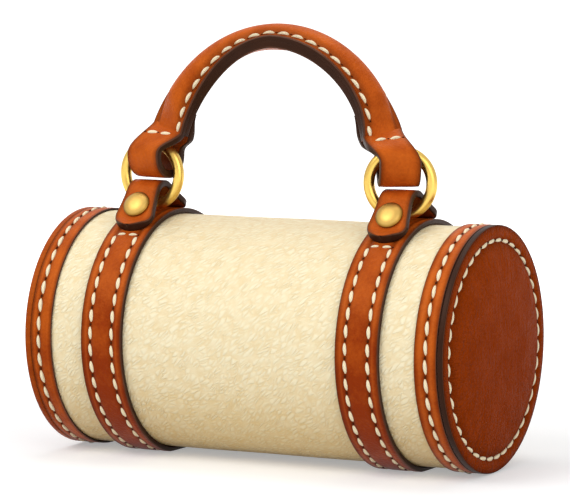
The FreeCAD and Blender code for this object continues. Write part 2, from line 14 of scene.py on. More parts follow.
import bmesh
import bpy
import numpy as np
from bpy.types import ID, Material, Mesh, Node, NodeOutputs, NodeSocket, NodeTree, Object
from mathutils import Matrix, Vector

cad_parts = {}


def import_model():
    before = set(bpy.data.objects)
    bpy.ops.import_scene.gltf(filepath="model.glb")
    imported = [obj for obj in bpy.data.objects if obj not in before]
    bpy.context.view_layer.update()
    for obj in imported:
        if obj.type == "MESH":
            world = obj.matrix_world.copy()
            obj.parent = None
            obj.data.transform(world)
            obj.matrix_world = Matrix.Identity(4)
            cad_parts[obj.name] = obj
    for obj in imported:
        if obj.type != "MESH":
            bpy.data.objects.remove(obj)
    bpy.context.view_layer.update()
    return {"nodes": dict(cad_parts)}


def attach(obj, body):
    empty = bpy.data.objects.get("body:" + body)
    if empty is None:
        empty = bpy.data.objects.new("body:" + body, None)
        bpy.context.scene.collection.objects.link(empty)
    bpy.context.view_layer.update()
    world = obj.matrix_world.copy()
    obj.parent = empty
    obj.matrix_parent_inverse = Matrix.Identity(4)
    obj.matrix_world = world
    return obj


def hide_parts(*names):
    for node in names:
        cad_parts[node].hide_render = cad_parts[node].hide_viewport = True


Colour = tuple[int, int, int]
Pair = tuple[float, float]
Triple = tuple[float, float, float]
Line = list[tuple[Vector, Vector]]

LOG = logging.getLogger("barrel_bag")
MM = 0.001
TAU = 2 * pi
UP = Vector((0, 0, 1))
FRONT = Vector((0, -1, 0))

# Sizes that several pieces share, as in the part's source
GLUE_GAP = 0.1
BARREL_RADIUS = 60.0
SHELL_THICKNESS = 2.0
STIFFENER_THICKNESS = 1.4
LINING_THICKNESS = 0.8
LINING_RADIUS = BARREL_RADIUS - SHELL_THICKNESS - STIFFENER_THICKNESS - 2 * GLUE_GAP
RIM_FACE = 116.7
RIM_EDGE = 3.5
SHELL_HALF = RIM_FACE - RIM_EDGE - GLUE_GAP
BOARD_THICKNESS = 1.6
BOARD_BACK = SHELL_HALF - BOARD_THICKNESS
SEAT_RADIUS = BARREL_RADIUS + GLUE_GAP
STRAP_THICKNESS = 2.8
STRAP_FLAT = 1.2
STRAP_RADIUS = SEAT_RADIUS + STRAP_THICKNESS
AXIS_HEIGHT = STRAP_RADIUS - STRAP_FLAT
PAD_RADIUS = 53.8
ZIP_ANGLE = radians(38.0)
ZIP_SLOT_HALF = 56.0
TAPE_MARGIN = 5.0

# Borders and furrows of a leather strip, with painted shade in the border creases and furrows and a painted
# highlight on the margins
BORDER_WIDTH = 1.3
BORDER_SINK = 0.12
# share of painted shade in the border creases and the stitch furrows
CREASE_SHADE = 0.7
SHADE_SPREAD = 1.1
MARGIN_GAP = 1.2
# share of painted highlight on the margins outside the stitch rows
MARGIN_HIGHLIGHT = 0.3
PAINT_TURN = 0.9
# share of painted shade on the under faces of the tab and the turned ends
UNDERSIDE_SHADE = 0.8

# Radius at the middle of a turned piece
POLE = 0.02


class Named(Enum):
    """Options whose names stand in the names of nodes."""

    @property
    def word(self) -> str:
        """Name used in the nodes."""
        return self.name.lower()


class Side(Named):
    """The two ends of the bag."""

    LEFT = -1
    RIGHT = 1


class Tape(Named):
    """The two halves of the zip."""

    UPPER = -1
    LOWER = 1


class Slot(Enum):
    """Material slots of the record."""

    CREAM = "cream_leather"
    TAN = "tan_leather"
    BRASS = "brass"
    CLOTH = "lining_cloth"
    TAPE = "zip_tape"
    THREAD = "thread"


class Zone(Enum):
    """Places on a leather piece that take their own finish."""

    FACE = 0
    EDGE = 1


def smooth(value: float) -> float:
    """Ease a share from 0 to 1."""
    value = min(1.0, max(0.0, value))
    return value * value * (3 - 2 * value)


def bell(offset: float, width: float) -> float:
    """Round swell of 1 that fades with the offset."""
    return exp(-(offset / width) ** 2)


def around(radius: float, angle: float, x: float) -> Vector:
    """Point on the barrel, at an angle from its top towards the back."""
    return Vector((x, radius * sin(angle), radius * cos(angle)))


def whole_turn(count: int) -> list[float]:
    """Angles spread evenly round a circle."""
    return [k * TAU / count for k in range(count)]


def lifted(point: Vector) -> Triple:
    """Point over the floor, in metres."""
    return point.x * MM, point.y * MM, (point.z + AXIS_HEIGHT) * MM


def placed(name: str, data: ID) -> Object:
    """Make an object at the origin and link it to the scene.

    Args:
        name: of the object.
        data: its mesh, camera or lamp.

    Returns:
        The object.
    """
    made = bpy.data.objects.new(name, data)
    bpy.context.scene.collection.objects.link(made)
    return made


def srgb(red: int, green: int, blue: int) -> tuple[float, float, float, float]:
    """Work out the linear colour of a display colour.

    Args:
        red: from 0 to 255.
        green: from 0 to 255.
        blue: from 0 to 255.

    Returns:
        Linear red, green and blue, and full alpha.
    """
    def line(value: int) -> float:
        """One channel as linear light."""
        share = value / 255
        return share / 12.92 if share <= 0.04045 else ((share + 0.055) / 1.055) ** 2.4

    return line(red), line(green), line(blue), 1.0


class Tree:
    """Short way to fill a node tree."""

    def __init__(self, tree: NodeTree) -> None:
        """Keep the tree."""
        self.tree = tree

    def add(self, kind: str, sockets: dict | None = None, **settings: object) -> Node:
        """Add a node.

        Args:
            kind: Blender's name of the node's type.
            sockets: input name or number to a value, or to an output socket to link.
            settings: the node's own properties.

        Returns:
            The node.
        """
        node = self.tree.nodes.new(kind)
        for name, value in settings.items():
            setattr(node, name, value)
        for name, value in (sockets or {}).items():
            if isinstance(value, NodeSocket):
                self.link(value, node.inputs[name])
            else:
                node.inputs[name].default_value = value
        return node

    def link(self, source: NodeSocket, target: NodeSocket) -> None:
        """Join an output to an input."""
        self.tree.links.new(source, target)

    def math(self, operation: str, first: object, second: object = 0.0) -> NodeSocket:
        """Output of a Math node."""
        return self.add("ShaderNodeMath", {0: first, 1: second}, operation=operation).outputs[0]

    def times(self, first: object, second: object) -> NodeSocket:
        """Product of two values."""
        return self.math("MULTIPLY", first, second)

    def plus(self, first: object, second: object) -> NodeSocket:
        """Sum of two values."""
        return self.math("ADD", first, second)

    def less(self, first: object, second: object) -> NodeSocket:
        """First value without the second."""
        return self.math("SUBTRACT", first, second)

    def capped(self, value: object) -> NodeSocket:
        """Value held at 1 or below."""
        return self.math("MINIMUM", value, 1.0)

    def vector(self, x: object = 0.0, y: object = 0.0, z: object = 0.0) -> NodeSocket:
        """Vector of three values."""
        return self.add("ShaderNodeCombineXYZ", {0: x, 1: y, 2: z}).outputs[0]

    def parts(self, vector: NodeSocket) -> NodeOutputs:
        """The three values of a vector."""
        return self.add("ShaderNodeSeparateXYZ", {0: vector}).outputs

    def place(self) -> NodeSocket:
        """Place in the shared frame."""
        return self.add("ShaderNodeTexCoord").outputs["Object"]

    def pattern(self) -> NodeSocket:
        """Place in the piece's own pattern."""
        return self.add("ShaderNodeUVMap").outputs[0]

    def attribute(self, name: str) -> NodeSocket:
        """Number that the mesh keeps under a name."""
        return self.add("ShaderNodeAttribute", attribute_name=name).outputs["Fac"]

    def length(self, vector: NodeSocket) -> NodeSocket:
        """Length of a vector."""
        return self.add("ShaderNodeVectorMath", {0: vector}, operation="LENGTH").outputs["Value"]

    def mix(self, share: object, first: object, second: object) -> NodeSocket:
        """Mix of two colours."""
        return self.add("ShaderNodeMix", {0: share, 6: first, 7: second}, data_type="RGBA").outputs[2]

    def ramp(self, value: NodeSocket, low: float, high: float) -> NodeSocket:
        """Range of values stretched to 0 and 1, eased and clamped."""
        sockets = {"Value": value, "From Min": low, "From Max": high}
        return self.add("ShaderNodeMapRange", sockets, interpolation_type="SMOOTHSTEP").outputs[0]

    def noise(self, place: NodeSocket, size: float, detail: float = 3.0) -> NodeSocket:
        """Noise whose features are about so many millimetres wide."""
        sockets = {"Vector": place, "Scale": 1 / (size * MM), "Detail": detail}
        return self.add("ShaderNodeTexNoise", sockets).outputs[0]

    def shifted(self, place: NodeSocket, size: float, reach: float) -> NodeSocket:
        """Push places about in waves.

        Args:
            place: where the pattern is read.
            size: of the waves, in millimetres.
            reach: of the push, in millimetres.

        Returns:
            The pushed place.
        """
        wave = self.add("ShaderNodeTexNoise", {"Vector": place, "Scale": 1 / (size * MM), "Detail": 2.0})
        push = self.add("ShaderNodeVectorMath", {0: wave.outputs["Color"], 1: (reach * MM, reach * MM, 0)},
                        operation="MULTIPLY")
        return self.add("ShaderNodeVectorMath", {0: place, 1: push.outputs[0]}, operation="ADD").outputs[0]


class Coat(Tree):
    """Node tree of a material."""

    @property
    def shader(self) -> Node:
        """The shader that takes the finish."""
        return self.tree.nodes["Principled BSDF"]


@dataclass(frozen=True)
class Finish:
    """A finish of the bag: its name, colours and gloss."""

    name: str
    base: Colour
    deep: Colour
    roughness: float
    gloss: float = 0.5
    shine: Colour = (255, 255, 255)

    def material(self) -> Material:
        """Build the material.

        Returns:
            The material, with its shader filled by the finish's own method.
        """
        made = bpy.data.materials.new(self.name)
        made.use_nodes = True
        shader = made.node_tree.nodes["Principled BSDF"]
        shader.inputs["Roughness"].default_value = self.roughness
        shader.inputs["Specular IOR Level"].default_value = self.gloss
        shader.inputs["Specular Tint"].default_value = srgb(*self.shine)
        made.diffuse_color = srgb(*self.base)
        self.fill(Coat(made.node_tree))
        return made

    def fill(self, tree: Coat) -> None:
        """Dress the shader; each finish has its own way."""
        raise NotImplementedError

    def paint(self, tree: Coat, share: NodeSocket) -> NodeSocket:
        """Colour the shader between the finish's two colours.

        Args:
            tree: of the material.
            share: of the deep colour.

        Returns:
            The colour.
        """
        colour = tree.mix(share, srgb(*self.base), srgb(*self.deep))
        tree.link(colour, tree.shader.inputs["Base Color"])
        return colour

    def roughen(self, tree: Coat, share: NodeSocket, spread: float) -> None:
        """Vary the roughness by a spread round its middle."""
        rough = tree.plus(self.roughness - spread / 2, tree.times(share, spread))
        tree.link(rough, tree.shader.inputs["Roughness"])

    def bump(self, tree: Coat, height: NodeSocket, depth: float) -> None:
        """Give the shader a relief of so many millimetres."""
        node = tree.add("ShaderNodeBump", {"Height": height, "Distance": depth * MM, "Strength": 1.0})
        tree.link(node.outputs[0], tree.shader.inputs["Normal"])


@dataclass(frozen=True)
class PebbledLeather(Finish):
    """Soft leather with a grain drawn out into short creases.

    The height at which the painted shade on the underside begins is in metres, and a pair gives the size of a
    wave and its reach.
    """

    cell: float = 1.85
    drawn: float = 2.6
    slant: float = 0.72
    relief: float = 0.25
    wander: Pair = (30.0, 9.0)
    ragged: Pair = (2.0, 1.3)
    crease_width: float = 0.3
    patch_size: float = 6.0
    patch_range: Pair = (0.3, 0.7)
    shallow: float = 0.45
    shade_and_tone: float = 0.42
    mottle_size: float = 26.0
    mottle: float = 0.05
    shade_height: float = 0.06
    soil_and_shade: float = 0.42
    pore_size: float = 0.5
    pore_detail: float = 2.0
    pore: float = 0.25
    swell_width: float = 0.5
    swell: float = 0.35

    def fill(self, tree: Coat) -> None:
        """Lay long pebbles whose slant wanders, creases between them with painted shade in them, a faint
        mottle and painted shade on the underside.

        Args:
            tree: of the material.
        """
        place = tree.pattern()
        turned = tree.add("ShaderNodeMapping", {
            "Vector": tree.shifted(place, *self.wander), "Rotation": (0, 0, self.slant),
            "Scale": (self.drawn, 1, 1)}, vector_type="TEXTURE").outputs[0]
        moved = tree.shifted(turned, *self.ragged)
        cells = tree.add("ShaderNodeTexVoronoi", {"Vector": moved, "Scale": 1 / (self.cell * MM)},
                         feature="DISTANCE_TO_EDGE").outputs[0]
        patch = tree.ramp(tree.noise(place, self.patch_size), *self.patch_range)
        depth = tree.plus(self.shallow, tree.times(patch, 1 - self.shallow))
        crease = tree.times(tree.less(1.0, tree.ramp(cells, 0.0, self.crease_width)), depth)
        # painted shade: the wall darkens towards the floor
        soil_and_shade = tree.times(tree.ramp(tree.parts(tree.place())[2], self.shade_height, 0.0), self.soil_and_shade)
        mottle = tree.times(tree.noise(place, self.mottle_size), self.mottle)
        # painted shade in the creases, plus a faint mottle of real tone
        shade_and_tone = tree.plus(tree.times(crease, self.shade_and_tone), mottle)
        self.paint(tree, tree.capped(tree.plus(shade_and_tone, soil_and_shade)))
        pores = tree.times(tree.noise(moved, self.pore_size, self.pore_detail), self.pore)
        swell = tree.times(tree.ramp(cells, 0.0, self.swell_width), self.swell)
        self.bump(tree, tree.plus(tree.less(pores, crease), swell), self.relief)


@dataclass(frozen=True)
class SmoothLeather(Finish):
    """Waxed leather with a fine grain, mottled dye, painted shade in its creases, furrows and under faces and
    towards the floor, and a painted highlight on its margins.

    The heights between which the painted shade deepens towards the floor are in metres.
    """

    rim_shade: Colour = (74, 26, 6)
    margin_highlight: Colour = (230, 126, 54)
    relief: float = 0.15
    low_shade: float = 0.58
    low_shade_heights: Pair = (0.13, 0.04)
    patches: float = 0.4
    patch_size: float = 15.0
    patch_range: Pair = (0.3, 0.72)
    detail: float = 5.0
    fibre_size: float = 1.7
    fibre_stain: float = 0.45
    fibre_relief: float = 1.3
    pore_size: float = 1.1
    pore_sway: Pair = (2.0, 0.8)
    pore_relief: float = 0.9
    rim_shade_share: float = 0.8
    rough_spread: float = 0.12

    def fill(self, tree: Coat) -> None:
        """Lay fibres and pores, dye that gathers in patches, painted shade low down and in the furrows, and a
        painted highlight on the margins.

        Args:
            tree: of the material.
        """
        place = tree.pattern()
        rim = tree.attribute("rim")
        mottle = tree.ramp(tree.noise(place, self.patch_size, self.detail), *self.patch_range)
        fibre = tree.noise(place, self.fibre_size, self.detail)
        pores = tree.add("ShaderNodeTexVoronoi", {"Vector": tree.shifted(place, *self.pore_sway),
                                                  "Scale": 1 / (self.pore_size * MM)}).outputs[0]
        # painted shade: the dye darkens towards the floor
        low = tree.times(tree.ramp(tree.parts(tree.place())[2], *self.low_shade_heights), self.low_shade)
        dye = tree.plus(tree.times(mottle, self.patches), tree.times(fibre, self.fibre_stain))
        colour = self.paint(tree, tree.capped(tree.plus(dye, low)))
        # painted shade from the rim share: creases, furrows, under faces, stitch lines and rounded corners
        colour = tree.mix(tree.times(rim, self.rim_shade_share), colour, srgb(*self.rim_shade))
        # painted highlight on the margins outside the stitch rows
        colour = tree.mix(tree.ramp(rim, 0.0, -1.0), colour, srgb(*self.margin_highlight))
        tree.link(colour, tree.shader.inputs["Base Color"])
        self.roughen(tree, mottle, self.rough_spread)
        grain = tree.less(tree.times(fibre, self.fibre_relief), tree.times(pores, self.pore_relief))
        self.bump(tree, self.creased(tree, place, grain), self.relief)

    def creased(self, tree: Tree, place: NodeSocket,
                grain: NodeSocket) -> NodeSocket:
        """Relief of the leather; flat pieces add nothing to the grain."""
        return grain


@dataclass(frozen=True)
class PaddedLeather(SmoothLeather):
    """Waxed leather drawn over a padded end. A pair gives the size of a wave and its reach."""

    wander: Pair = (22.0, 12.0)
    upright_size: float = 3.0
    upright_detail: float = 3.0
    upright_length: float = 0.22
    upright_relief: float = 2.6
    pulled_size: float = 3.4
    pulled_detail: float = 2.0
    pulled_length: float = 0.16
    pulled_start: float = 0.3
    pulled_relief: float = 3.4

    def creased(self, tree: Tree, place: NodeSocket,
                grain: NodeSocket) -> NodeSocket:
        """Add upright creases over the middle, and creases that run in from the stitches.

        Args:
            tree: of the material.
            place: on the end, seen square on.
            grain: relief of the leather itself.

        Returns:
            The whole relief.
        """
        upright = tree.add("ShaderNodeMapping", {"Vector": tree.shifted(place, *self.wander),
                                                 "Scale": (1.0, self.upright_length, 1.0)}).outputs[0]
        long = tree.times(tree.noise(upright, self.upright_size, self.upright_detail), self.upright_relief)
        split = tree.parts(place)
        angle = tree.math("ARCTAN2", split[0], split[1])
        out = tree.length(place)
        polar = tree.vector(tree.times(angle, PAD_RADIUS * MM), tree.times(out, self.pulled_length))
        near = tree.ramp(out, self.pulled_start * PAD_RADIUS * MM, PAD_RADIUS * MM)
        pulled = tree.times(tree.noise(polar, self.pulled_size, self.pulled_detail), near)
        return tree.plus(grain, tree.plus(long, tree.times(pulled, self.pulled_relief)))


@dataclass(frozen=True)
class EdgePaint(Finish):
    """Thick dark paint on cut leather edges."""

    border_highlight: Colour = (112, 72, 54)
    patch_size: float = 7.0
    patch_detail: float = 4.0
    highlight_start: float = 0.35
    wear: float = 0.9
    brush_size: float = 0.8
    relief: float = 0.07

    def fill(self, tree: Coat) -> None:
        """Lay brush marks, and a patchy painted highlight on the rounded upper border.

        Args:
            tree: of the material.
        """
        place = tree.place()
        patch = tree.noise(place, self.patch_size, self.patch_detail)
        # painted highlight where the rim share is high, on the rounded upper border
        border = tree.ramp(tree.attribute("rim"), self.highlight_start, 1.0)
        wear = tree.times(border, tree.times(patch, self.wear))
        colour = tree.mix(wear, self.paint(tree, patch), srgb(*self.border_highlight))
        tree.link(colour, tree.shader.inputs["Base Color"])
        self.bump(tree, tree.plus(tree.noise(place, self.brush_size), patch), self.relief)


@dataclass(frozen=True)
class SatinBrass(Finish):
    """Brass with a soft brushed surface."""

    cloud_size: float = 6.0
    cloud_detail: float = 4.0
    cloud: float = 0.4
    border: float = 0.8
    rough_spread: float = 0.16
    scratch_size: float = 0.35
    scratch_length: float = 0.08
    relief: float = 0.008

    def fill(self, tree: Coat) -> None:
        """Make it metal, with faint clouding, fine scratches and a painted dark reflection on the borders.

        Args:
            tree: of the material.
        """
        tree.shader.inputs["Metallic"].default_value = 1.0
        place = tree.place()
        cloud = tree.noise(place, self.cloud_size, self.cloud_detail)
        # painted dark reflection where the rim share is high, on the caps' borders
        dark = tree.plus(tree.times(cloud, self.cloud), tree.times(tree.attribute("rim"), self.border))
        self.paint(tree, tree.capped(dark))
        self.roughen(tree, cloud, self.rough_spread)
        drawn = tree.add("ShaderNodeMapping", {"Vector": place, "Scale": (1.0, 1.0, self.scratch_length)})
        self.bump(tree, tree.noise(drawn.outputs[0], self.scratch_size), self.relief)


@dataclass(frozen=True)
class WaxedThread(Finish):
    """Thick laid thread."""

    plies: float = 2.0
    groove_width: float = 0.6
    groove: float = 0.22
    ply_width: float = 0.8
    tip_range: Pair = (0.28, 0.5)
    tip: float = 0.6
    soil_size: float = 6.0
    soil_and_shade: float = 0.25
    sheen: float = 0.15
    fluff_size: float = 0.3
    fluff: float = 0.3
    relief: float = 0.1

    def fill(self, tree: Coat) -> None:
        """Lay two plies round each other, with painted shade in the groove between them and at the stitch's
        tips.

        Args:
            tree: of the material.
        """
        along, place = tree.attribute("thread_along"), tree.place()
        lay = tree.times(tree.plus(along, tree.attribute("thread_turn")), TAU * self.plies)
        ply = tree.math("ABSOLUTE", tree.math("SINE", lay))
        # painted shade in the ply groove and at the tips; the noise adds soil
        groove = tree.times(tree.less(1.0, tree.ramp(ply, 0.0, self.groove_width)), self.groove)
        tip = tree.times(tree.ramp(tree.math("ABSOLUTE", tree.less(along, 0.5)), *self.tip_range), self.tip)
        shade_and_tone = tree.plus(groove, tree.times(tree.noise(place, self.soil_size), self.soil_and_shade))
        self.paint(tree, tree.capped(tree.plus(shade_and_tone, tip)))
        tree.shader.inputs["Sheen Weight"].default_value = self.sheen
        fluff = tree.times(tree.noise(place, self.fluff_size), self.fluff)
        self.bump(tree, tree.plus(tree.ramp(ply, 0.0, self.ply_width), fluff), self.relief)


@dataclass(frozen=True)
class WovenCloth(Finish):
    """Plain woven cloth."""

    pitch: float = 0.7
    weave: float = 0.5
    slub_size: float = 3.0
    slub: float = 0.4
    sheen: float = 0.3
    relief: float = 0.12

    def fill(self, tree: Coat) -> None:
        """Lay warp and weft that pass over each other.

        Args:
            tree: of the material.
        """
        place = tree.pattern()
        split = tree.parts(place)
        turns = pi / (self.pitch * MM)
        warp, weft = (tree.math("SINE", tree.times(split[axis], turns)) for axis in range(2))
        weave = tree.times(warp, weft)
        slub = tree.times(tree.noise(place, self.slub_size), self.slub)
        self.paint(tree, tree.plus(tree.times(tree.ramp(weave, -1.0, 1.0), self.weave), slub))
        tree.shader.inputs["Sheen Weight"].default_value = self.sheen
        self.bump(tree, weave, self.relief)


@dataclass(frozen=True)
class PressedBoard(Finish):
    """Fibre board inside the bag."""

    fibre_size: float = 1.5
    fibre_detail: float = 6.0
    relief: float = 0.08

    def fill(self, tree: Coat) -> None:
        """Lay fibres pressed flat.

        Args:
            tree: of the material.
        """
        fibre = tree.noise(tree.place(), self.fibre_size, self.fibre_detail)
        self.paint(tree, fibre)
        self.bump(tree, fibre, self.relief)


class Finishes:
    """Every material of the bag, made once."""

    def __init__(self) -> None:
        """Build the materials."""
        warm, brown = (255, 196, 128), (255, 222, 200)
        # second cream: tone of the painted shade in the creases and low down, and of the mottle
        cream, cream_shade_and_mottle = (252, 240, 205), (228, 190, 114)
        self.cream = PebbledLeather("cream_pebbled_leather", cream, cream_shade_and_mottle, 0.5, 0.22).material()
        # second tan: tone of the dye's patches and fibres, and of the painted shade towards the floor
        tan, deep = (212, 102, 29), (142, 48, 7)
        self.tan = SmoothLeather("tan_smooth_leather", tan, deep, 0.42, 0.14, warm).material()
        tan, deep = (214, 104, 29), (144, 49, 7)
        self.band_tan = SmoothLeather("tan_band_leather", tan, deep, 0.42, 0.12, warm, low_shade=0.25).material()
        tan, deep = (170, 68, 11), (120, 40, 4)
        self.padded_tan = PaddedLeather("tan_padded_leather", tan, deep, 0.5, 0.012, warm,
                                        relief=0.85, low_shade=0.25, patches=0.15).material()
        self.edge = EdgePaint("dark_edge_paint", (54, 26, 13), (36, 17, 8), 0.42, 0.16, brown).material()
        self.cut_tan = (self.tan, self.edge)
        # dark dents at the stitch ends: painted shade of the thread holes
        self.hole = EdgePaint("thread_hole_shade", (84, 34, 10), (60, 24, 8), 0.7, 0.1, brown).material()
        self.brass = SatinBrass("satin_brass", (230, 192, 100), (188, 146, 64), 0.3).material()
        # deep brass of the caps: tone of the clouding and of the painted dark reflection on their borders
        self.cap_brass = SatinBrass("brushed_brass", (214, 176, 96), (132, 94, 34), 0.44).material()
        # second thread tone: painted shade in the groove and at the tips, and soil
        thread, thread_shade_and_soil = (255, 243, 208), (222, 184, 122)
        self.thread = WaxedThread("cream_waxed_thread", thread, thread_shade_and_soil, 0.6, 0.2).material()
        self.cloth = WovenCloth("lining_cloth", (200, 184, 150), (160, 142, 108), 0.85).material()
        self.tape = WovenCloth("zip_tape_cloth", (128, 80, 42), (88, 52, 26), 0.8, pitch=0.5).material()
        self.board = PressedBoard("pressed_board", (150, 126, 92), (112, 92, 64), 0.8).material()


@dataclass(frozen=True)
class Knot:
    """Corner of a section: place across, height, finish of the side that follows, and rim share, which drives
    painted shade and painted highlights.
    """

    across: float
    height: float
    zone: Zone = Zone.FACE
    rim: float = 0.0


Profile = list[tuple[Knot, float]]


class Skin:
    """Mesh in the making."""

    def __init__(self) -> None:
        """Start empty."""
        self.points: list[Vector] = []
        self.rims: list[float] = []
        self.faces: list[tuple[int, ...]] = []
        self.slots: list[int] = []
        self.corners: list[list[Pair]] = []

    def sweep(self, rows: Sequence[Sequence[Vector]], knots: Sequence[Knot], closed: bool,
              cap: Zone = Zone.EDGE) -> None:
        """Join sections into a closed skin.

        Args:
            rows: the points of each section, in the order of the knots.
            knots: the section's corners, for finish and for the rim share of painted shade and highlight.
            closed: whether the last section joins the first.
            cap: finish of the end faces of an open sweep.
        """
        start, width = len(self.points), len(knots)
        sampled = range(0, width, 3)
        steps = [0.0]
        for before, after in zip(rows, list(rows[1:]) + [rows[0]]):
            steps.append(steps[-1] + sum((after[k] - before[k]).length for k in sampled) / len(sampled))
        girth = [0.0]
        middle = rows[len(rows) // 2]
        for k in range(width):
            girth.append(girth[-1] + (middle[(k + 1) % width] - middle[k]).length)
        for row in rows:
            self.points.extend(row)
            self.rims.extend(knot.rim for knot in knots)
        for r in range(len(rows) if closed else len(rows) - 1):
            below, above = start + r * width, start + ((r + 1) % len(rows)) * width
            low, high = steps[r], steps[r + 1]
            for k in range(width):
                after = (k + 1) % width
                self.faces.append((below + k, below + after, above + after, above + k))
                self.slots.append(knots[k].zone.value)
                here, there = girth[k], girth[k + 1]
                self.corners.append([(low, here), (low, there), (high, there), (high, here)])
        if not closed:
            for r in (0, len(rows) - 1):
                first = start + r * width
                self.faces.append(tuple(range(first, first + width)))
                self.slots.append(cap.value)
                self.corners.append([(knot.across, knot.height) for knot in knots])

    def build(self, name: str, materials: Sequence[Material], sharp: float = 50.0,
              uv: Callable[[Vector], Pair] | None = None) -> Object:
        """Make the object.

        Args:
            name: of the piece.
            materials: in the order of the zones.
            sharp: edges that turn by more than this many degrees stay sharp.
            uv: gives a point's place in the pattern, where it isn't the sweep's own.

        Returns:
            The object, at the origin, with outward, smooth faces.
        """
        mesh = bpy.data.meshes.new(name)
        mesh.from_pydata([lifted(point) for point in self.points], [], self.faces)
        mesh.polygons.foreach_set("material_index", self.slots)
        spots = self.corners if uv is None else [[uv(self.points[k]) for k in face] for face in self.faces]
        flat = [value * MM for face in spots for corner in face for value in corner]
        mesh.uv_layers.new(name="UVMap").data.foreach_set("uv", flat)
        mesh.attributes.new("rim", "FLOAT", "POINT").data.foreach_set("value", self.rims)
        for material in materials:
            mesh.materials.append(material)
        work = bmesh.new()
        work.from_mesh(mesh)
        bmesh.ops.remove_doubles(work, verts=work.verts, dist=1e-7)
        bmesh.ops.recalc_face_normals(work, faces=work.faces)
        work.to_mesh(mesh)
        work.free()
        mesh.shade_smooth()
        mesh.set_sharp_from_angle(angle=radians(sharp))
        return placed(name, mesh)


def slab(half: float, low: float, high: float, rounding: float, furrows: Sequence[float] = (),
         depth: float = 0.35, spread: float = 1.3, steps: int = 34, foot: float | None = None,
         under_shade: float = 0.0) -> list[Knot]:
    """Draw the section of a leather strip with painted edges.

    Args:
        half: half of its width.
        low: height of its under face.
        high: height of its upper face.
        rounding: of its upper corners.
        furrows: places across where a row of stitches presses the leather.
        depth: of a furrow.
        spread: width of a furrow.
        steps: of the upper face.
        foot: rounding of its under corners, where it isn't the upper one's.
        under_shade: painted shade on its under face.

    Returns:
        The section's corners, from the left of the under face, up and over.
    """
    flat = half - rounding
    foot = rounding if foot is None else foot
    turns = [k * pi / 8 for k in range(1, 4)]
    left = [Knot(-half + foot, low, rim=under_shade)]
    left += [Knot(-half + foot - foot * sin(t), low + foot * (1 - cos(t)), Zone.EDGE) for t in turns]
    left += [Knot(-half, low + foot, Zone.EDGE), Knot(-half, high - rounding, Zone.EDGE, 0.2)]
    left += [Knot(-flat - rounding * cos(t), high - rounding * (1 - sin(t)),
                  Zone.EDGE if t < PAINT_TURN else Zone.FACE, 1.0) for t in turns]
    top = []
    for k in range(steps + 1):
        across = -flat + 2 * flat * k / steps
        press = sum(depth * bell(across - place, spread) for place in furrows)
        # painted shade in the border crease and the furrows, painted highlight on the margins outside the
        # stitches
        border = bell(flat - abs(across), BORDER_WIDTH)
        shade_and_tone = max([0.0] + [bell(across - place, spread * SHADE_SPREAD) for place in furrows])
        margin = smooth(abs(across) - max(furrows) - MARGIN_GAP) if furrows else 0.0
        top.append(Knot(across, high - press - BORDER_SINK * border, Zone.FACE,
                        CREASE_SHADE * max(border, shade_and_tone) - MARGIN_HIGHLIGHT * margin * (1 - border)))
    right = [Knot(-knot.across, knot.height, Zone.EDGE, knot.rim) for knot in reversed(left)]
    right[0] = Knot(right[0].across, right[0].height, Zone.EDGE, 1.0)
    return left + top + right[:-1] + [Knot(half - foot, low, rim=under_shade)]


def swept(name: str, rows: Sequence[Sequence[Vector]], knots: Sequence[Knot],
          materials: Sequence[Material], closed: bool, cap: Zone = Zone.EDGE) -> Object:
    """Make a piece of one sweep.

    Args:
        name: of the piece.
        rows: the points of each section, in the order of the knots.
        knots: the section's corners.
        materials: in the order of the zones.
        closed: whether the last section joins the first.
        cap: finish of the end faces of an open sweep.

    Returns:
        The object, at the origin.
    """
    skin = Skin()
    skin.sweep(rows, knots, closed, cap)
    return skin.build(name, materials)


def open_tree(name: str, sizes: Sequence[str], finishes: Sequence[str]) -> tuple[Tree, NodeOutputs]:
    """Start a geometry node tree.

    Args:
        name: of the tree.
        sizes: names of its number inputs.
        finishes: names of its material inputs.

    Returns:
        The tree, and the outputs of its input node.
    """
    group = bpy.data.node_groups.new(name, "GeometryNodeTree")
    inputs = [("Geometry", "NodeSocketGeometry")] + [(label, "NodeSocketFloat") for label in sizes]
    inputs += [("Seed", "NodeSocketInt")] + [(label, "NodeSocketMaterial") for label in finishes]
    for label, kind in inputs:
        group.interface.new_socket(name=label, in_out="INPUT", socket_type=kind)
    group.interface.new_socket(name="Geometry", in_out="OUTPUT", socket_type="NodeSocketGeometry")
    tree = Tree(group)
    return tree, tree.add("NodeGroupInput").outputs


def grown(name: str, mesh: Mesh, group: NodeTree, given: dict[str, object]) -> Object:
    """Run a node tree on a mesh and keep its result as a plain mesh.

    Args:
        name: of the new piece.
        mesh: that the tree starts from.
        group: the tree.
        given: value of each named input.

    Returns:
        The new object, at the origin.
    """
    source = placed(name + "_source", mesh)
    layer = source.modifiers.new("grown", "NODES")
    layer.node_group = group
    for item in group.interface.items_tree:
        if item.in_out == "INPUT" and item.name in given:
            layer[item.identifier] = given[item.name]
    evaluated = source.evaluated_get(bpy.context.evaluated_depsgraph_get())
    plain = bpy.data.meshes.new_from_object(evaluated)
    bpy.data.objects.remove(source)
    return placed(name, plain)


def dress(piece: Object, body: str, nodes: Iterable[str]) -> Object:
    """Hang a finished piece on its body, hide the solids that it replaces and log its face count.

    Args:
        piece: the object.
        body: that it moves with.
        nodes: the solids that it replaces.

    Returns:
        The same object.
    """
    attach(piece, body)
    named = list(nodes)
    if named:
        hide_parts(*named)
    LOG.info("%s: %d faces", piece.name, len(piece.data.polygons))
    return piece


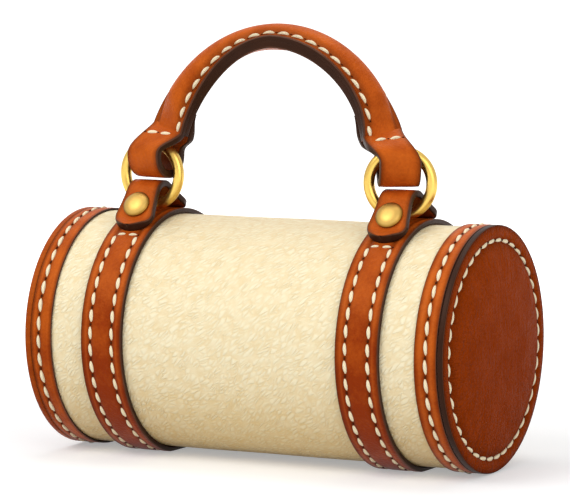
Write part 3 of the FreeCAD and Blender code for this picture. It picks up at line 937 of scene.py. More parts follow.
@dataclass
class StitchRows:
    """Rows of hand stitches on one body, laid by a node tree.

    The slant is in degrees. The last fields are shares of a stitch's sizes, and the range by which each
    stitch differs from the next.
    """

    name: str
    pitch: float = 8.6
    length: float = 6.8
    width: float = 2.15
    rise: float = 0.85
    slant: float = 6.0
    gap: float = 1.5
    steps: int = 7
    seed: int = 7
    sunk: float = 0.4
    bow: float = 1.25
    taper: float = 0.6
    tip: float = 0.22
    flat: float = 0.8
    hole_place: float = 0.606
    hole_size: Triple = (0.12, 0.3, 0.1)
    least: Triple = (0.96, 0.92, 0.95)
    most: Triple = (1.03, 1.08, 1.05)

    def __post_init__(self) -> None:
        """Start with no rows."""
        self.points: list[Vector] = []
        self.ups: list[Vector] = []
        self.reaches: list[Vector] = []
        self.edges: list[tuple[int, int]] = []

    def row(self, path: Sequence[Vector], ups: Sequence[Vector], closed: bool = False,
            count: int | None = None, gap: float | None = None) -> None:
        """Add a row along a line.

        Args:
            path: points along the line.
            ups: outward direction at each point.
            closed: whether the line joins its start.
            count: of stitches; the pitch sets it where it is left out.
            gap: between two stitches, where it isn't the usual one.
        """
        line = list(path) + ([path[0]] if closed else [])
        lifts = list(ups) + ([ups[0]] if closed else [])
        lengths = [0.0]
        for before, after in zip(line, line[1:]):
            lengths.append(lengths[-1] + (after - before).length)
        count = count or max(1, round(lengths[-1] / self.pitch))
        reach = (lengths[-1] / count - (self.gap if gap is None else gap)) / self.length
        start = len(self.points)
        for k in range(count):
            wanted = lengths[-1] * (k + 0.5) / count
            spot = int(np.searchsorted(lengths, wanted)) - 1
            share = (wanted - lengths[spot]) / (lengths[spot + 1] - lengths[spot])
            self.points.append(line[spot].lerp(line[spot + 1], share))
            self.ups.append(lifts[spot].lerp(lifts[spot + 1], share).normalized())
            self.reaches.append(Vector((reach, 1, 1)))
        self.edges += [(start + k, start + k + 1) for k in range(count - 1)]
        if closed:
            self.edges.append((start + count - 1, start))

    def thread_nodes(self, t: Tree, given: NodeOutputs) -> NodeSocket:
        """Bow one stitch out of the leather, thick in its middle.

        Args:
            t: the tree.
            given: the tree's inputs.

        Returns:
            The stitch, along X at the origin, with its lay kept as two attributes.
        """
        half, sunk = t.times(given["Length"], 0.5), t.times(given["Width"], -self.sunk)
        bow = t.add("GeometryNodeCurveQuadraticBezier", {
            "Resolution": self.steps, "Start": t.vector(t.times(half, -1.0), z=sunk),
            "Middle": t.vector(z=t.times(given["Rise"], self.bow)), "End": t.vector(half, z=sunk)})
        ring = t.add("GeometryNodeCurvePrimitiveCircle", {"Resolution": self.steps, "Radius": 1.0},
                     mode="RADIUS")
        along, turn = (t.add("GeometryNodeSplineParameter").outputs["Factor"] for _ in range(2))
        line, section = (t.add("GeometryNodeStoreNamedAttribute", {
            "Geometry": curve.outputs[0], "Name": name, "Value": value},
            data_type="FLOAT", domain="POINT").outputs[0]
            for curve, name, value in ((bow, "thread_along", along), (ring, "thread_turn", turn)))
        swell = t.math("POWER", t.math("SINE", t.times(along, pi)), self.taper)
        radius = t.times(t.times(given["Width"], 0.5), t.math("MAXIMUM", swell, self.tip))
        thread = t.add("GeometryNodeCurveToMesh", {"Curve": line, "Profile Curve": section, "Scale": radius,
                                                   "Fill Caps": True})
        return t.add("GeometryNodeTransform", {"Geometry": thread.outputs[0], "Scale": (1, 1, self.flat),
                                               "Rotation": t.vector(z=given["Slant"])}).outputs[0]

    def hole_nodes(self, t: Tree, given: NodeOutputs) -> NodeSocket:
        """Press the hole where a stitch goes in, as a dark dent painted with the hole's shade.

        Args:
            t: the tree.
            given: the tree's inputs.

        Returns:
            The hole, beyond the stitch's end, with its faces marked.
        """
        ball = t.add("GeometryNodeMeshIcoSphere", {"Radius": 1.0, "Subdivisions": 1})
        bases = (given["Length"], given["Width"], given["Width"])
        size = t.vector(*(t.times(base, share) for base, share in zip(bases, self.hole_size)))
        dent = t.add("GeometryNodeTransform", {
            "Geometry": ball.outputs[0], "Scale": size,
            "Translation": t.vector(t.times(given["Length"], self.hole_place))})
        return t.add("GeometryNodeStoreNamedAttribute", {
            "Geometry": dent.outputs[0], "Name": "hole", "Value": True},
            data_type="BOOLEAN", domain="FACE").outputs[0]

    def tree(self) -> NodeTree:
        """Build the node tree that lays a stitch and a thread hole at each point.

        Returns:
            The tree, with named inputs for the stitch's sizes and its two materials.
        """
        t, given = open_tree("laid_stitches", ("Length", "Width", "Rise", "Slant"), ("Thread", "Hole"))
        sewn = t.add("GeometryNodeJoinGeometry")
        for made in (self.thread_nodes(t, given), self.hole_nodes(t, given)):
            t.link(made, sewn.inputs[0])
        line = t.add("GeometryNodeMeshToCurve", {"Mesh": given["Geometry"]})
        up, reach = (t.add("GeometryNodeInputNamedAttribute", {"Name": name},
                           data_type="FLOAT_VECTOR").outputs[0] for name in ("up", "reach"))
        tangent = t.add("GeometryNodeInputTangent").outputs[0]
        facing = t.add("FunctionNodeAxesToRotation", {"Primary Axis": up, "Secondary Axis": tangent},
                       primary_axis="Z", secondary_axis="X")
        sway = t.add("FunctionNodeRandomValue", {"Min": self.least, "Max": self.most, "Seed": given["Seed"]},
                     data_type="FLOAT_VECTOR").outputs[0]
        size = t.add("ShaderNodeVectorMath", {0: sway, 1: reach}, operation="MULTIPLY").outputs[0]
        spread = t.add("GeometryNodeInstanceOnPoints", {
            "Points": line.outputs[0], "Instance": sewn.outputs[0], "Rotation": facing.outputs[0],
            "Scale": size})
        plain = t.add("GeometryNodeRealizeInstances", {"Geometry": spread.outputs[0]})
        eased = t.add("GeometryNodeSetShadeSmooth", {"Geometry": plain.outputs[0], "Shade Smooth": True})
        done = t.add("GeometryNodeSetMaterial", {"Geometry": eased.outputs[0], "Material": given["Thread"]})
        hole = t.add("GeometryNodeInputNamedAttribute", {"Name": "hole"}, data_type="BOOLEAN").outputs[0]
        done = t.add("GeometryNodeSetMaterial", {"Geometry": done.outputs[0], "Selection": hole,
                                                 "Material": given["Hole"]})
        t.add("NodeGroupOutput", {0: done.outputs[0]})
        return t.tree

    def build(self, body: str, finishes: Finishes) -> None:
        """Lay the stitches, make them a plain mesh and hang it on its body.

        Args:
            body: that the stitches move with.
            finishes: of the bag.
        """
        mesh = bpy.data.meshes.new(self.name)
        mesh.from_pydata([lifted(point) for point in self.points], self.edges, [])
        for label, values in (("up", self.ups), ("reach", self.reaches)):
            layer = mesh.attributes.new(label, "FLOAT_VECTOR", "POINT")
            layer.data.foreach_set("vector", [part for value in values for part in value])
        laid = grown(self.name, mesh, self.tree(), {
            "Length": self.length * MM, "Width": self.width * MM, "Rise": self.rise * MM,
            "Slant": radians(self.slant), "Seed": self.seed, "Thread": finishes.thread,
            "Hole": finishes.hole})
        dress(laid, body, [])


@dataclass(frozen=True)
class Window:
    """Round-cornered opening in the wall: half length, half width round the wall, and corner radius."""

    reach: float
    wide: float
    corner: float

    def holds(self, x: float, s: float) -> bool:
        """Whether a place along and round the wall is in the opening."""
        out_x, out_s = abs(x) - self.reach + self.corner, abs(s) - self.wide + self.corner
        return hypot(max(0.0, out_x), max(0.0, out_s)) < self.corner

    def snapped(self, x: float, s: float) -> Pair:
        """Find the nearest place on the opening's outline.

        Args:
            x: place along the wall.
            s: place round the wall, from the opening's middle.

        Returns:
            The place on the outline.
        """
        core_x = max(-self.reach + self.corner, min(self.reach - self.corner, x))
        core_s = max(-self.wide + self.corner, min(self.wide - self.corner, s))
        gap = hypot(x - core_x, s - core_s)
        if gap < 1e-6:
            return x, copysign(self.wide, s)
        return core_x + (x - core_x) * self.corner / gap, core_s + (s - core_s) * self.corner / gap


@dataclass
class Barrel:
    """Wall of the bag: leather outside, cloth inside."""

    finishes: Finishes
    lining_half: float = BOARD_BACK - LINING_THICKNESS - 2 * GLUE_GAP
    slot_half_width: float = 6.5
    window_margin: float = 1.5 * TAPE_MARGIN
    window_half_width: float = 15.2
    window_corner: float = 1.0
    corner_ease: float = 0.01
    lengths: int = 110
    spans: int = 180
    near_spans: int = 10
    near_share: float = 1 / 8
    near_reach: float = 1.4
    sag: float = 0.11
    wave: float = 0.05
    row_gap: float = 2.6
    row_points: int = 240
    row_start: float = 1.2

    def sway(self, x: float, angle: float) -> float:
        """Small unevenness of the soft wall, never proud of its round."""
        wave = sin(x * 0.11 + 1.7 * sin(angle * 3)) + sin(angle * 5 + x * 0.045)
        return -self.sag + self.wave * wave

    def grid(self, radius: float, half: float, window: Window) -> tuple[list[float], list[float]]:
        """Choose the lines of the wall's mesh, closer set round the opening.

        Args:
            radius: of the wall.
            half: half of its length.
            window: the opening.

        Returns:
            Places along the wall, and angles round it.
        """
        core = window.reach - window.corner
        places = {-half + k * 2 * half / self.lengths for k in range(self.lengths + 1)}
        places |= {-window.reach, window.reach, -core, core}
        near = [ZIP_ANGLE + k * window.wide / radius * self.near_share
                for k in range(-self.near_spans, self.near_spans + 1)]
        away = self.near_reach * window.wide / radius
        far = [span for span in whole_turn(self.spans) if abs((span - ZIP_ANGLE + pi) % TAU - pi) > away]
        return sorted(places), sorted(far + near)

    def wall(self, name: str, radius: float, thickness: float, half: float, window: Window,
             material: Material) -> Object:
        """Make a tube with a round-cornered opening at the zip.

        Args:
            name: of the piece.
            radius: of its outer face.
            thickness: of the wall.
            half: half of its length.
            window: the opening.
            material: of both faces.

        Returns:
            The object.
        """
        places, turns = self.grid(radius, half, window)
        work = bmesh.new()
        grid = [[work.verts.new(around(radius + self.sway(x, a), a, x)) for a in turns] for x in places]
        where = {grid[i][j]: (x, a) for i, x in enumerate(places) for j, a in enumerate(turns)}
        layer = work.loops.layers.uv.new("UVMap")
        for i in range(len(places) - 1):
            for j, turn in enumerate(turns):
                after = (j + 1) % len(turns)
                middle = turn + (turns[after] - turn) % TAU / 2
                if window.holds((places[i] + places[i + 1]) / 2, radius * (middle - ZIP_ANGLE)):
                    continue
                face = work.faces.new((grid[i][j], grid[i + 1][j], grid[i + 1][after], grid[i][after]))
                for loop in face.loops:
                    x, a = where[loop.vert]
                    a = a + TAU if after == 0 and a == turns[0] else a
                    loop[layer].uv = (x * MM, a * radius * MM)
        for vert in work.verts:
            x, a = where[vert]
            if vert.is_boundary and abs(x) < half - 1:
                x, s = window.snapped(x, radius * (a - ZIP_ANGLE))
                vert.co = around(radius, ZIP_ANGLE + s / radius, x)
        bmesh.ops.delete(work, geom=[vert for vert in work.verts if not vert.link_faces], context="VERTS")
        for vert in work.verts:
            vert.co = lifted(vert.co)
        bmesh.ops.recalc_face_normals(work, faces=work.faces)
        mesh = bpy.data.meshes.new(name)
        work.to_mesh(mesh)
        work.free()
        outward = sum(p.normal.dot((0, p.center.y, p.center.z - AXIS_HEIGHT * MM)) for p in mesh.polygons)
        if outward < 0:
            mesh.flip_normals()
        mesh.materials.append(material)
        mesh.shade_smooth()
        made = placed(name, mesh)
        wall = made.modifiers.new("wall", "SOLIDIFY")
        wall.thickness = thickness * MM
        wall.offset = -1
        wall.use_rim = True
        return made

    def build(self) -> None:
        """Make the wall and its lining."""
        slot = Window(ZIP_SLOT_HALF, self.slot_half_width, self.slot_half_width - self.corner_ease)
        shell = self.wall("barrel_leather", BARREL_RADIUS, SHELL_THICKNESS, SHELL_HALF, slot,
                          self.finishes.cream)
        dress(shell, "bag", ["body_shell"])
        window = Window(ZIP_SLOT_HALF + self.window_margin, self.window_half_width, self.window_corner)
        lining = self.wall("barrel_lining", LINING_RADIUS, LINING_THICKNESS, self.lining_half, window,
                           self.finishes.cloth)
        dress(lining, "bag", ["body_lining"])

    def slot_stitches(self, rows: StitchRows) -> None:
        """Lay the row of small stitches round the opening, which holds the tapes.

        Args:
            rows: that take the stitches.
        """
        wide = self.slot_half_width + self.row_gap
        outline = Window(ZIP_SLOT_HALF + self.row_gap, wide, wide)
        path, ups = [], []
        for turn in whole_turn(self.row_points):
            x, s = outline.snapped(outline.reach * self.row_start * cos(turn),
                                   outline.wide * self.row_start * sin(turn))
            angle = ZIP_ANGLE + s / BARREL_RADIUS
            path.append(around(BARREL_RADIUS - GLUE_GAP, angle, x))
            ups.append(around(1, angle, 0))
        rows.row(path, ups, closed=True)


@dataclass
class BarrelEnd:
    """Padded end and the band beside it."""

    finishes: Finishes
    side: Side
    crown: float = 4.6
    crown_power: float = 3.4
    rim_radius: float = 61.3
    rounding: float = 0.9
    pad_gap: float = 0.6
    pad_steps: int = 28
    pad_power: float = 0.8
    margin_steps: int = 8
    margin_swell: float = 0.4
    groove: float = 0.8
    groove_inside: float = 1.6
    groove_outside: float = 1.3
    shade_inside: Pair = (0.55, 3.2)
    shade_outside: Pair = (0.5, 1.6)
    pull: float = 0.4
    pull_inside: float = 2.6
    pull_outside: float = 2.0
    border_width: float = 1.4
    border_sink: float = 0.1
    border_shade: float = 0.6
    edge_darkening: float = 0.3
    corner_steps: int = 4
    band_width: float = 12.0
    band_rounding: float = 0.5
    band_furrow: float = 0.5
    band_spread: float = 1.5
    cloth_ease: float = 0.2
    stitch_count: int = 40
    stitch_sink: float = 0.6
    stitch_gap: float = 0.5
    band_stitches: int = 41
    band_stitch_sink: float = 0.35
    floor_gap: float = 0.95
    row_points: int = 360
    row_shift: float = 0.0
    painted: bool = True
    turns: int = 320

    def lathe(self, profile: Sequence[tuple[Knot, float]], count: int) -> Skin:
        """Turn a profile round the barrel's axis.

        Args:
            profile: knots as place along X and radius, with the share of the stitches' pull there.
            count: of stitches round the end.

        Returns:
            The turned skin.
        """
        rows = []
        for angle in whole_turn(self.turns):
            pull = self.pull * (cos(angle * count) * 0.5 + 0.5)
            rows.append([around(knot.height, angle, self.side.value * (knot.across - share * pull))
                         for knot, share in profile])
        skin = Skin()
        skin.sweep(rows, [knot for knot, _ in profile], closed=True)
        return skin

    def pad_profile(self) -> Profile:
        """Draw the padding's section, from the middle out to the stitches.

        Returns:
            Knots, each with the share of the stitches' pull there.
        """
        made = []
        shade_and_tone, width = self.shade_inside
        for k in range(self.pad_steps + 1):
            radius = max(POLE, (PAD_RADIUS - self.pad_gap) * (k / self.pad_steps) ** self.pad_power)
            near = radius - PAD_RADIUS
            lift = self.crown * (1 - (radius / PAD_RADIUS) ** self.crown_power)
            place = RIM_FACE + lift - self.groove * bell(near, self.groove_inside)
            # painted shade where the padding dips into the stitch line
            knot = Knot(place, radius, Zone.FACE, shade_and_tone * bell(near, width))
            made.append((knot, bell(near, self.pull_inside)))
        return made

    def margin_profile(self) -> Profile:
        """Draw the sewn margin's section, from the stitches out to the rim.

        Returns:
            Knots, each with the share of the stitches' pull there.
        """
        made = []
        shade_and_tone, width = self.shade_outside
        end = self.rim_radius - self.rounding
        for k in range(self.margin_steps + 1):
            share = k / self.margin_steps
            radius = PAD_RADIUS + (end - PAD_RADIUS) * share
            near = radius - PAD_RADIUS
            border = bell(end - radius, self.border_width)
            height = self.margin_swell * sin(pi * share) - self.groove * bell(near, self.groove_outside)
            # painted shade at the stitch line and in the border crease by the rim
            rim_shade = max(self.border_shade * border, shade_and_tone * bell(near, width))
            made.append((Knot(RIM_FACE + height - self.border_sink * border, radius, Zone.FACE, rim_shade),
                         bell(near, self.pull_outside)))
        return made

    def rim_profile(self) -> Profile:
        """Draw the rim's section, from the margin round to the hidden back.

        Returns:
            Knots, none of them pulled by the stitches.
        """
        back, end = RIM_FACE - RIM_EDGE, self.rim_radius - self.rounding
        turns = [k * pi / 2 / self.corner_steps for k in range(self.corner_steps + 1)]
        # the rounded corner takes a painted highlight on edge paint and painted shade on the tan rim; the
        # rest of the rim is a little darker
        made = [Knot(RIM_FACE - self.rounding * (1 - cos(turn)), end + self.rounding * sin(turn),
                     Zone.EDGE if k else Zone.FACE, 1.0 if k < 2 else self.edge_darkening)
                for k, turn in enumerate(turns[1:])]
        made += [Knot(back + self.rounding * (1 - sin(turn)), end + self.rounding * cos(turn),
                      Zone.EDGE, self.edge_darkening) for turn in turns]
        made += [Knot(back, radius) for radius in (PAD_RADIUS, PAD_RADIUS / 2, POLE)]
        return [(knot, 0.0) for knot in made]

    def band_profile(self) -> Profile:
        """Draw the band's section, as a strip wrapped round the barrel.

        Returns:
            Knots, none of them pulled by the stitches.
        """
        half = self.band_width / 2
        strip = slab(half, SEAT_RADIUS, self.rim_radius, self.band_rounding, furrows=(self.row_shift,),
                     depth=self.band_furrow, spread=self.band_spread)
        return [(Knot(SHELL_HALF - half + knot.across, knot.height, knot.zone, knot.rim), 0.0)
                for knot in strip]

    def cloth_profile(self) -> Profile:
        """Draw the section of the cloth behind the board.

        Returns:
            Knots, none of them pulled by the stitches.
        """
        high = BOARD_BACK - GLUE_GAP
        low = high - LINING_THICKNESS
        corners = [(low, POLE), (low, LINING_RADIUS / 2), (low, LINING_RADIUS - self.cloth_ease),
                   (low + self.cloth_ease, LINING_RADIUS), (high, LINING_RADIUS), (high, POLE)]
        return [(Knot(*corner), 0.0) for corner in corners]

    def build(self) -> None:
        """Make the padded end, the band and the cloth behind."""
        word = self.side.word
        profile = self.pad_profile() + self.margin_profile() + self.rim_profile()
        rim = self.finishes.edge if self.painted else self.finishes.band_tan
        skin = self.lathe(profile, self.stitch_count)
        pad = skin.build(word + "_padded_end", (self.finishes.padded_tan, rim), uv=self.flat)
        dress(pad, "bag", [word + "_end_disc", word + "_end_foam"])
        skin = self.lathe(self.band_profile(), self.band_stitches)
        band = skin.build(word + "_band", (self.finishes.band_tan, self.finishes.edge))
        dress(band, "bag", [word + "_end_band"])
        skin = self.lathe(self.cloth_profile(), 1)
        lining = skin.build(word + "_end_cloth", (self.finishes.cloth, self.finishes.cloth), uv=self.flat)
        dress(lining, "bag", [word + "_end_lining"])

    def flat(self, point: Vector) -> Pair:
        """Place on the end seen square on."""
        return point.y, point.z

    def stitches(self, rows: StitchRows) -> None:
        """Lay the rows round the padding and round the band.

        Args:
            rows: that take the stitches.
        """
        side = self.side.value
        turns = [side * turn for turn in whole_turn(self.row_points)]
        path = [around(PAD_RADIUS, turn, side * (RIM_FACE - self.stitch_sink)) for turn in turns]
        rows.row(path, [Vector((side, 0, 0))] * len(path), closed=True, count=self.stitch_count,
                 gap=self.stitch_gap)
        place = side * (SHELL_HALF - self.band_width / 2 + self.row_shift)
        path = [around(self.rim_radius - self.band_stitch_sink, -turn, place) for turn in turns]
        for point in path:
            point.z = max(point.z, self.floor_gap - AXIS_HEIGHT)
        rows.row(path, [around(1, -turn, 0) for turn in turns], closed=True, count=self.band_stitches)


@dataclass
class Strap:
    """Strap round the barrel with its ring tab, rivets and ring. The ring's splay is in degrees."""

    finishes: Finishes
    side: Side
    place: float = 71.2
    width: float = 23.2
    rounding: float = 0.7
    furrow: float = 0.4
    turns: int = 300
    row_place: float = 6.1
    row_points: int = 360
    row_angle: float = 0.035
    row_sink: float = 0.35
    cross_sink: float = 0.3
    cross_gap: float = 0.5
    floor_gap: float = 1.6
    lean: float = radians(10.0)
    tab_half: float = 10.7
    neck_half: float = 8.9
    waist: float = 60.0
    tab_thickness: float = 3.5
    tab_rounding: float = 0.9
    tab_steps: int = 20
    tab_corner: float = 1.6
    tab_height: float = 16.2
    tab_swell: float = 1.2
    swell_start: float = 0.72
    swell_run: float = 0.22
    fold_radius: float = 6.7
    slope: float = radians(45.0)
    toe_radius: float = 18.1
    reach: float = radians(22.5)
    end_depth: float = 9.4
    end_ease: float = 0.0005
    end_steps: int = 24
    end_power: float = 1.5
    bend_steps: int = 12
    flat_steps: int = 6
    rivet_run: float = 9.4
    rivet_radius: float = 7.1
    rivet_lift: float = 0.45
    rivet_height: float = 2.7
    rivet_edge: float = 0.6
    rivet_ease: float = 0.1
    rivet_foot: tuple[Pair, ...] = ((0.5, -0.5), (0.12, -0.3))
    rivet_turns: int = 72
    dome_steps: int = 16
    dome_spacing: float = 0.8
    dome_round: float = 4.0
    dome_fall: float = 0.3
    dome_border: float = 0.78
    ring_inset: float = 1.0
    ring_radius: float = 15.9
    ring_wire: float = 2.8
    ring_gap: float = 0.4
    ring_splay: float = 3.0
    ring_turns: int = 144
    wire_turns: int = 28

    @property
    def ring_place(self) -> float:
        """Distance of the ring from the bag's middle."""
        return self.place - self.ring_inset

    @property
    def ring_centre(self) -> Vector:
        """Middle of the ring."""
        axis = STRAP_RADIUS + self.ring_gap + self.ring_wire
        return around(axis, -self.lean, self.side.value * self.ring_place) + UP * self.ring_radius

    @property
    def ring_top(self) -> float:
        """Height of the wire's middle at the ring's top."""
        return self.ring_centre.z + self.ring_radius

    @property
    def fold_centre(self) -> float:
        """Height of the middle of the tab's fold, before the lean."""
        return STRAP_RADIUS + self.tab_height - self.fold_radius - self.tab_thickness

    @property
    def fold_top(self) -> float:
        """Height of the leaning fold's top."""
        return self.fold_centre * cos(self.lean) + self.fold_radius + self.tab_thickness

    def leaned(self, point: Vector) -> Vector:
        """Point made at the barrel's top, turned forward to the tab's place on this side."""
        turned = Matrix.Rotation(self.lean, 3, "X") @ point
        return turned + Vector((self.side.value * self.place, 0, 0))

    def wrapped(self, radius: float, angle: float, across: float, floor: float = 0.0) -> Vector:
        """Place on the strap, held over the floor."""
        point = around(radius, angle, self.side.value * self.place + across)
        return Vector((point.x, point.y, max(point.z, floor - AXIS_HEIGHT)))

    def build_strap(self) -> None:
        """Make the strap, pressed flat where the bag stands."""
        knots = slab(self.width / 2, SEAT_RADIUS, STRAP_RADIUS, self.rounding,
                     furrows=(-self.row_place, self.row_place), depth=self.furrow)
        rows = [[self.wrapped(knot.height, angle, knot.across) for knot in knots]
                for angle in whole_turn(self.turns)]
        strap = swept(self.side.word + "_barrel_strap", rows, knots, self.finishes.cut_tan, closed=True)
        dress(strap, "bag", [self.side.word + "_strap"])

    def tab_line(self) -> list[Vector]:
        """Draw the middle line of the folded tab, before the lean.

        Returns:
            Points from its front end to its back end.
        """
        ply = STRAP_RADIUS + GLUE_GAP + self.tab_thickness / 2
        bend = self.fold_radius + self.tab_thickness / 2
        normal = around(1, -self.slope, 0)
        fold = UP * self.fold_centre
        far = ply + self.toe_radius
        toe = self.slope - acos((normal.dot(fold) + bend + self.toe_radius) / far)
        centre = around(far, -toe, 0)
        last = self.reach - self.end_depth / STRAP_RADIUS + asin(self.end_depth / ply) - self.end_ease
        heel, start = centre - normal * self.toe_radius, fold + normal * bend
        shares = [k / self.bend_steps for k in range(self.bend_steps)]
        front = [around(ply, -(last + (toe - last) * (k / self.end_steps) ** self.end_power), 0)
                 for k in range(self.end_steps)]
        front += [centre - around(self.toe_radius, -(toe + (self.slope - toe) * share), 0)
                  for share in shares]
        front += [heel.lerp(start, k / self.flat_steps) for k in range(self.flat_steps)]
        front += [fold + around(bend, -self.slope * (1 - share), 0) for share in shares]
        back = [Vector((0, -point.y, point.z)) for point in reversed(front)]
        return front + [fold + UP * bend] + back

    def tab_angle(self, point: Vector) -> float:
        """Angle of a place on the tab from the barrel's top."""
        return atan2(abs(point.y), point.z)

    def tab_half_width(self, point: Vector) -> float:
        """Work out half of the tab's width at a place on its middle line.

        Args:
            point: the place, before the lean.

        Returns:
            The half width.
        """
        drop = STRAP_RADIUS + self.tab_height - point.z
        half = min(self.tab_half, self.neck_half + self.waist - sqrt(self.waist ** 2 - drop ** 2))
        past = point.length * sin(self.tab_angle(point) - self.reach + self.end_depth / STRAP_RADIUS)
        if past > 0:
            half = min(half, self.tab_half * sqrt(max(1e-4, 1 - (past / self.end_depth) ** 2)))
        return half

    def build_tab(self) -> None:
        """Make the folded tab, a little thicker at its toes."""
        line = self.tab_line()
        thick = self.tab_thickness / 2
        # the tab's under face takes painted shade
        shape = slab(self.tab_half, -thick, thick, self.tab_rounding, steps=self.tab_steps,
                     under_shade=UNDERSIDE_SHADE)
        rows = []
        for k, point in enumerate(line):
            ahead = line[min(k + 1, len(line) - 1)] - line[max(k - 1, 0)]
            up = Vector((1, 0, 0)).cross(ahead).normalized()
            half = self.tab_half_width(point)
            toe = self.tab_angle(point) / self.reach - self.swell_start
            swell = self.tab_swell * smooth(toe / self.swell_run)
            row = []
            for knot in shape:
                inset = self.tab_half - abs(knot.across)
                inset = min(inset, half * inset / self.tab_half * self.tab_corner)
                place = point + up * (knot.height + (swell if knot.height > 0 else 0.0))
                place.x = copysign(max(0.0, half - inset), knot.across)
                row.append(self.leaned(place))
            rows.append(row)
        tab = swept(self.side.word + "_folded_tab", rows, shape, self.finishes.cut_tan, closed=False)
        dress(tab, "bag", [self.side.word + "_ring_tab"])

    def rivet_axis(self, end: int) -> tuple[Vector, Vector]:
        """Find where a rivet sits.

        Args:
            end: -1 in front and 1 behind.

        Returns:
            Its seat and its outward direction.
        """
        outward = around(1, end * self.slope, 0)
        down = around(1, end * (self.slope + pi / 2), 0)
        lift = self.fold_radius + self.tab_thickness + self.rivet_lift
        seat = UP * self.fold_centre + outward * lift + down * self.rivet_run
        return self.leaned(seat), Matrix.Rotation(self.lean, 3, "X") @ outward

    def rivet_profile(self) -> list[Knot]:
        """Draw the section of a domed cap.

        Returns:
            Knots as radius and height, from the middle below to the middle on top.
        """
        wide, rise = self.rivet_radius, self.rivet_height - self.rivet_edge
        made = [Knot(POLE, self.rivet_foot[0][1])]
        made += [Knot(wide - inset, height) for inset, height in self.rivet_foot]
        # the cap's side and the dome's border take a painted dark reflection
        made += [Knot(wide, height, rim=1.0)
                 for height in (self.rivet_ease, self.rivet_edge - self.rivet_ease)]
        for k in range(self.dome_steps + 1):
            radius = max(POLE, (wide - self.rivet_ease) * (1 - k / self.dome_steps) ** self.dome_spacing)
            share = radius / wide
            height = rise * (1 - share ** self.dome_round) * (1 - self.dome_fall * share ** 2)
            border = smooth((share - self.dome_border) / (1 - self.dome_border))
            made.append(Knot(radius, self.rivet_edge + height, rim=border))
        return made

    def build_rivets(self) -> None:
        """Make the two domed caps."""
        skin = Skin()
        profile = self.rivet_profile()
        for end in (-1, 1):
            seat, outward = self.rivet_axis(end)
            turn = UP.rotation_difference(outward).to_matrix()
            rows = []
            for angle in whole_turn(self.rivet_turns):
                rows.append([seat + turn @ Vector((knot.across * cos(angle), knot.across * sin(angle),
                                                   knot.height)) for knot in profile])
            skin.sweep(rows, profile, closed=True)
        caps = skin.build(self.side.word + "_rivet_domes", (self.finishes.cap_brass, self.finishes.cap_brass))
        dress(caps, "bag", [self.side.word + "_rivet_caps"])

    def build_ring(self) -> None:
        """Make the ring."""
        centre = self.ring_centre
        splay = Matrix.Rotation(self.side.value * radians(self.ring_splay), 3, "Z")
        rows = []
        for angle in whole_turn(self.ring_turns):
            row = []
            for turn in whole_turn(self.wire_turns):
                reach = self.ring_radius + self.ring_wire * cos(turn)
                row.append(centre + splay @ Vector((reach * sin(angle), self.ring_wire * sin(turn),
                                                    reach * cos(angle))))
            rows.append(row)
        ring = swept(self.side.word + "_brass_ring", rows, [Knot(0, 0)] * self.wire_turns,
                     (self.finishes.brass, self.finishes.brass), closed=True)
        dress(ring, self.side.word + "_ring", [self.side.word + "_ring"])

    def build(self) -> None:
        """Make the strap, tab, rivets and ring."""
        self.build_strap()
        self.build_tab()
        self.build_rivets()
        self.build_ring()

    def stitches(self, rows: StitchRows) -> None:
        """Lay a box of stitches from the tab's front end round under the barrel to its back end.

        Args:
            rows: that take the stitches.
        """
        front = -(self.reach + self.lean + self.row_angle)
        back = self.reach - self.lean + self.row_angle
        borders = (-self.row_place, self.row_place)
        sweep = TAU + front - back
        angles = [front - sweep * k / self.row_points for k in range(self.row_points + 1)]
        for across in borders:
            path = [self.wrapped(STRAP_RADIUS - self.row_sink, angle, across, self.floor_gap)
                    for angle in angles]
            rows.row(path, [around(1, angle, 0) for angle in angles])
        for angle in (front, back):
            path = [self.wrapped(STRAP_RADIUS - self.cross_sink, angle, across) for across in borders]
            rows.row(path, [around(1, angle, 0)] * 2, count=2, gap=self.cross_gap)


@dataclass(frozen=True)
class TurnedEnd:
    """How one leg of the handle turns, and how its end opens round the ring.

    Angles are in degrees. The opening says how soon the ply opens out, and the cross gives the stations of
    the two stitches across the end.
    """

    leg_twist: float
    end_twist: float
    turn: float
    inset: float
    cavity: float
    opening: float
    cross: tuple[int, int]


TURNED_ENDS = {
    Side.LEFT: TurnedEnd(72.0, 78.0, 12.0, 2.2, 6.9, 1.8, (8, 12)),
    Side.RIGHT: TurnedEnd(20.0, 52.0, 31.0, 1.0, 8.3, 3.0, (9, 10)),
}


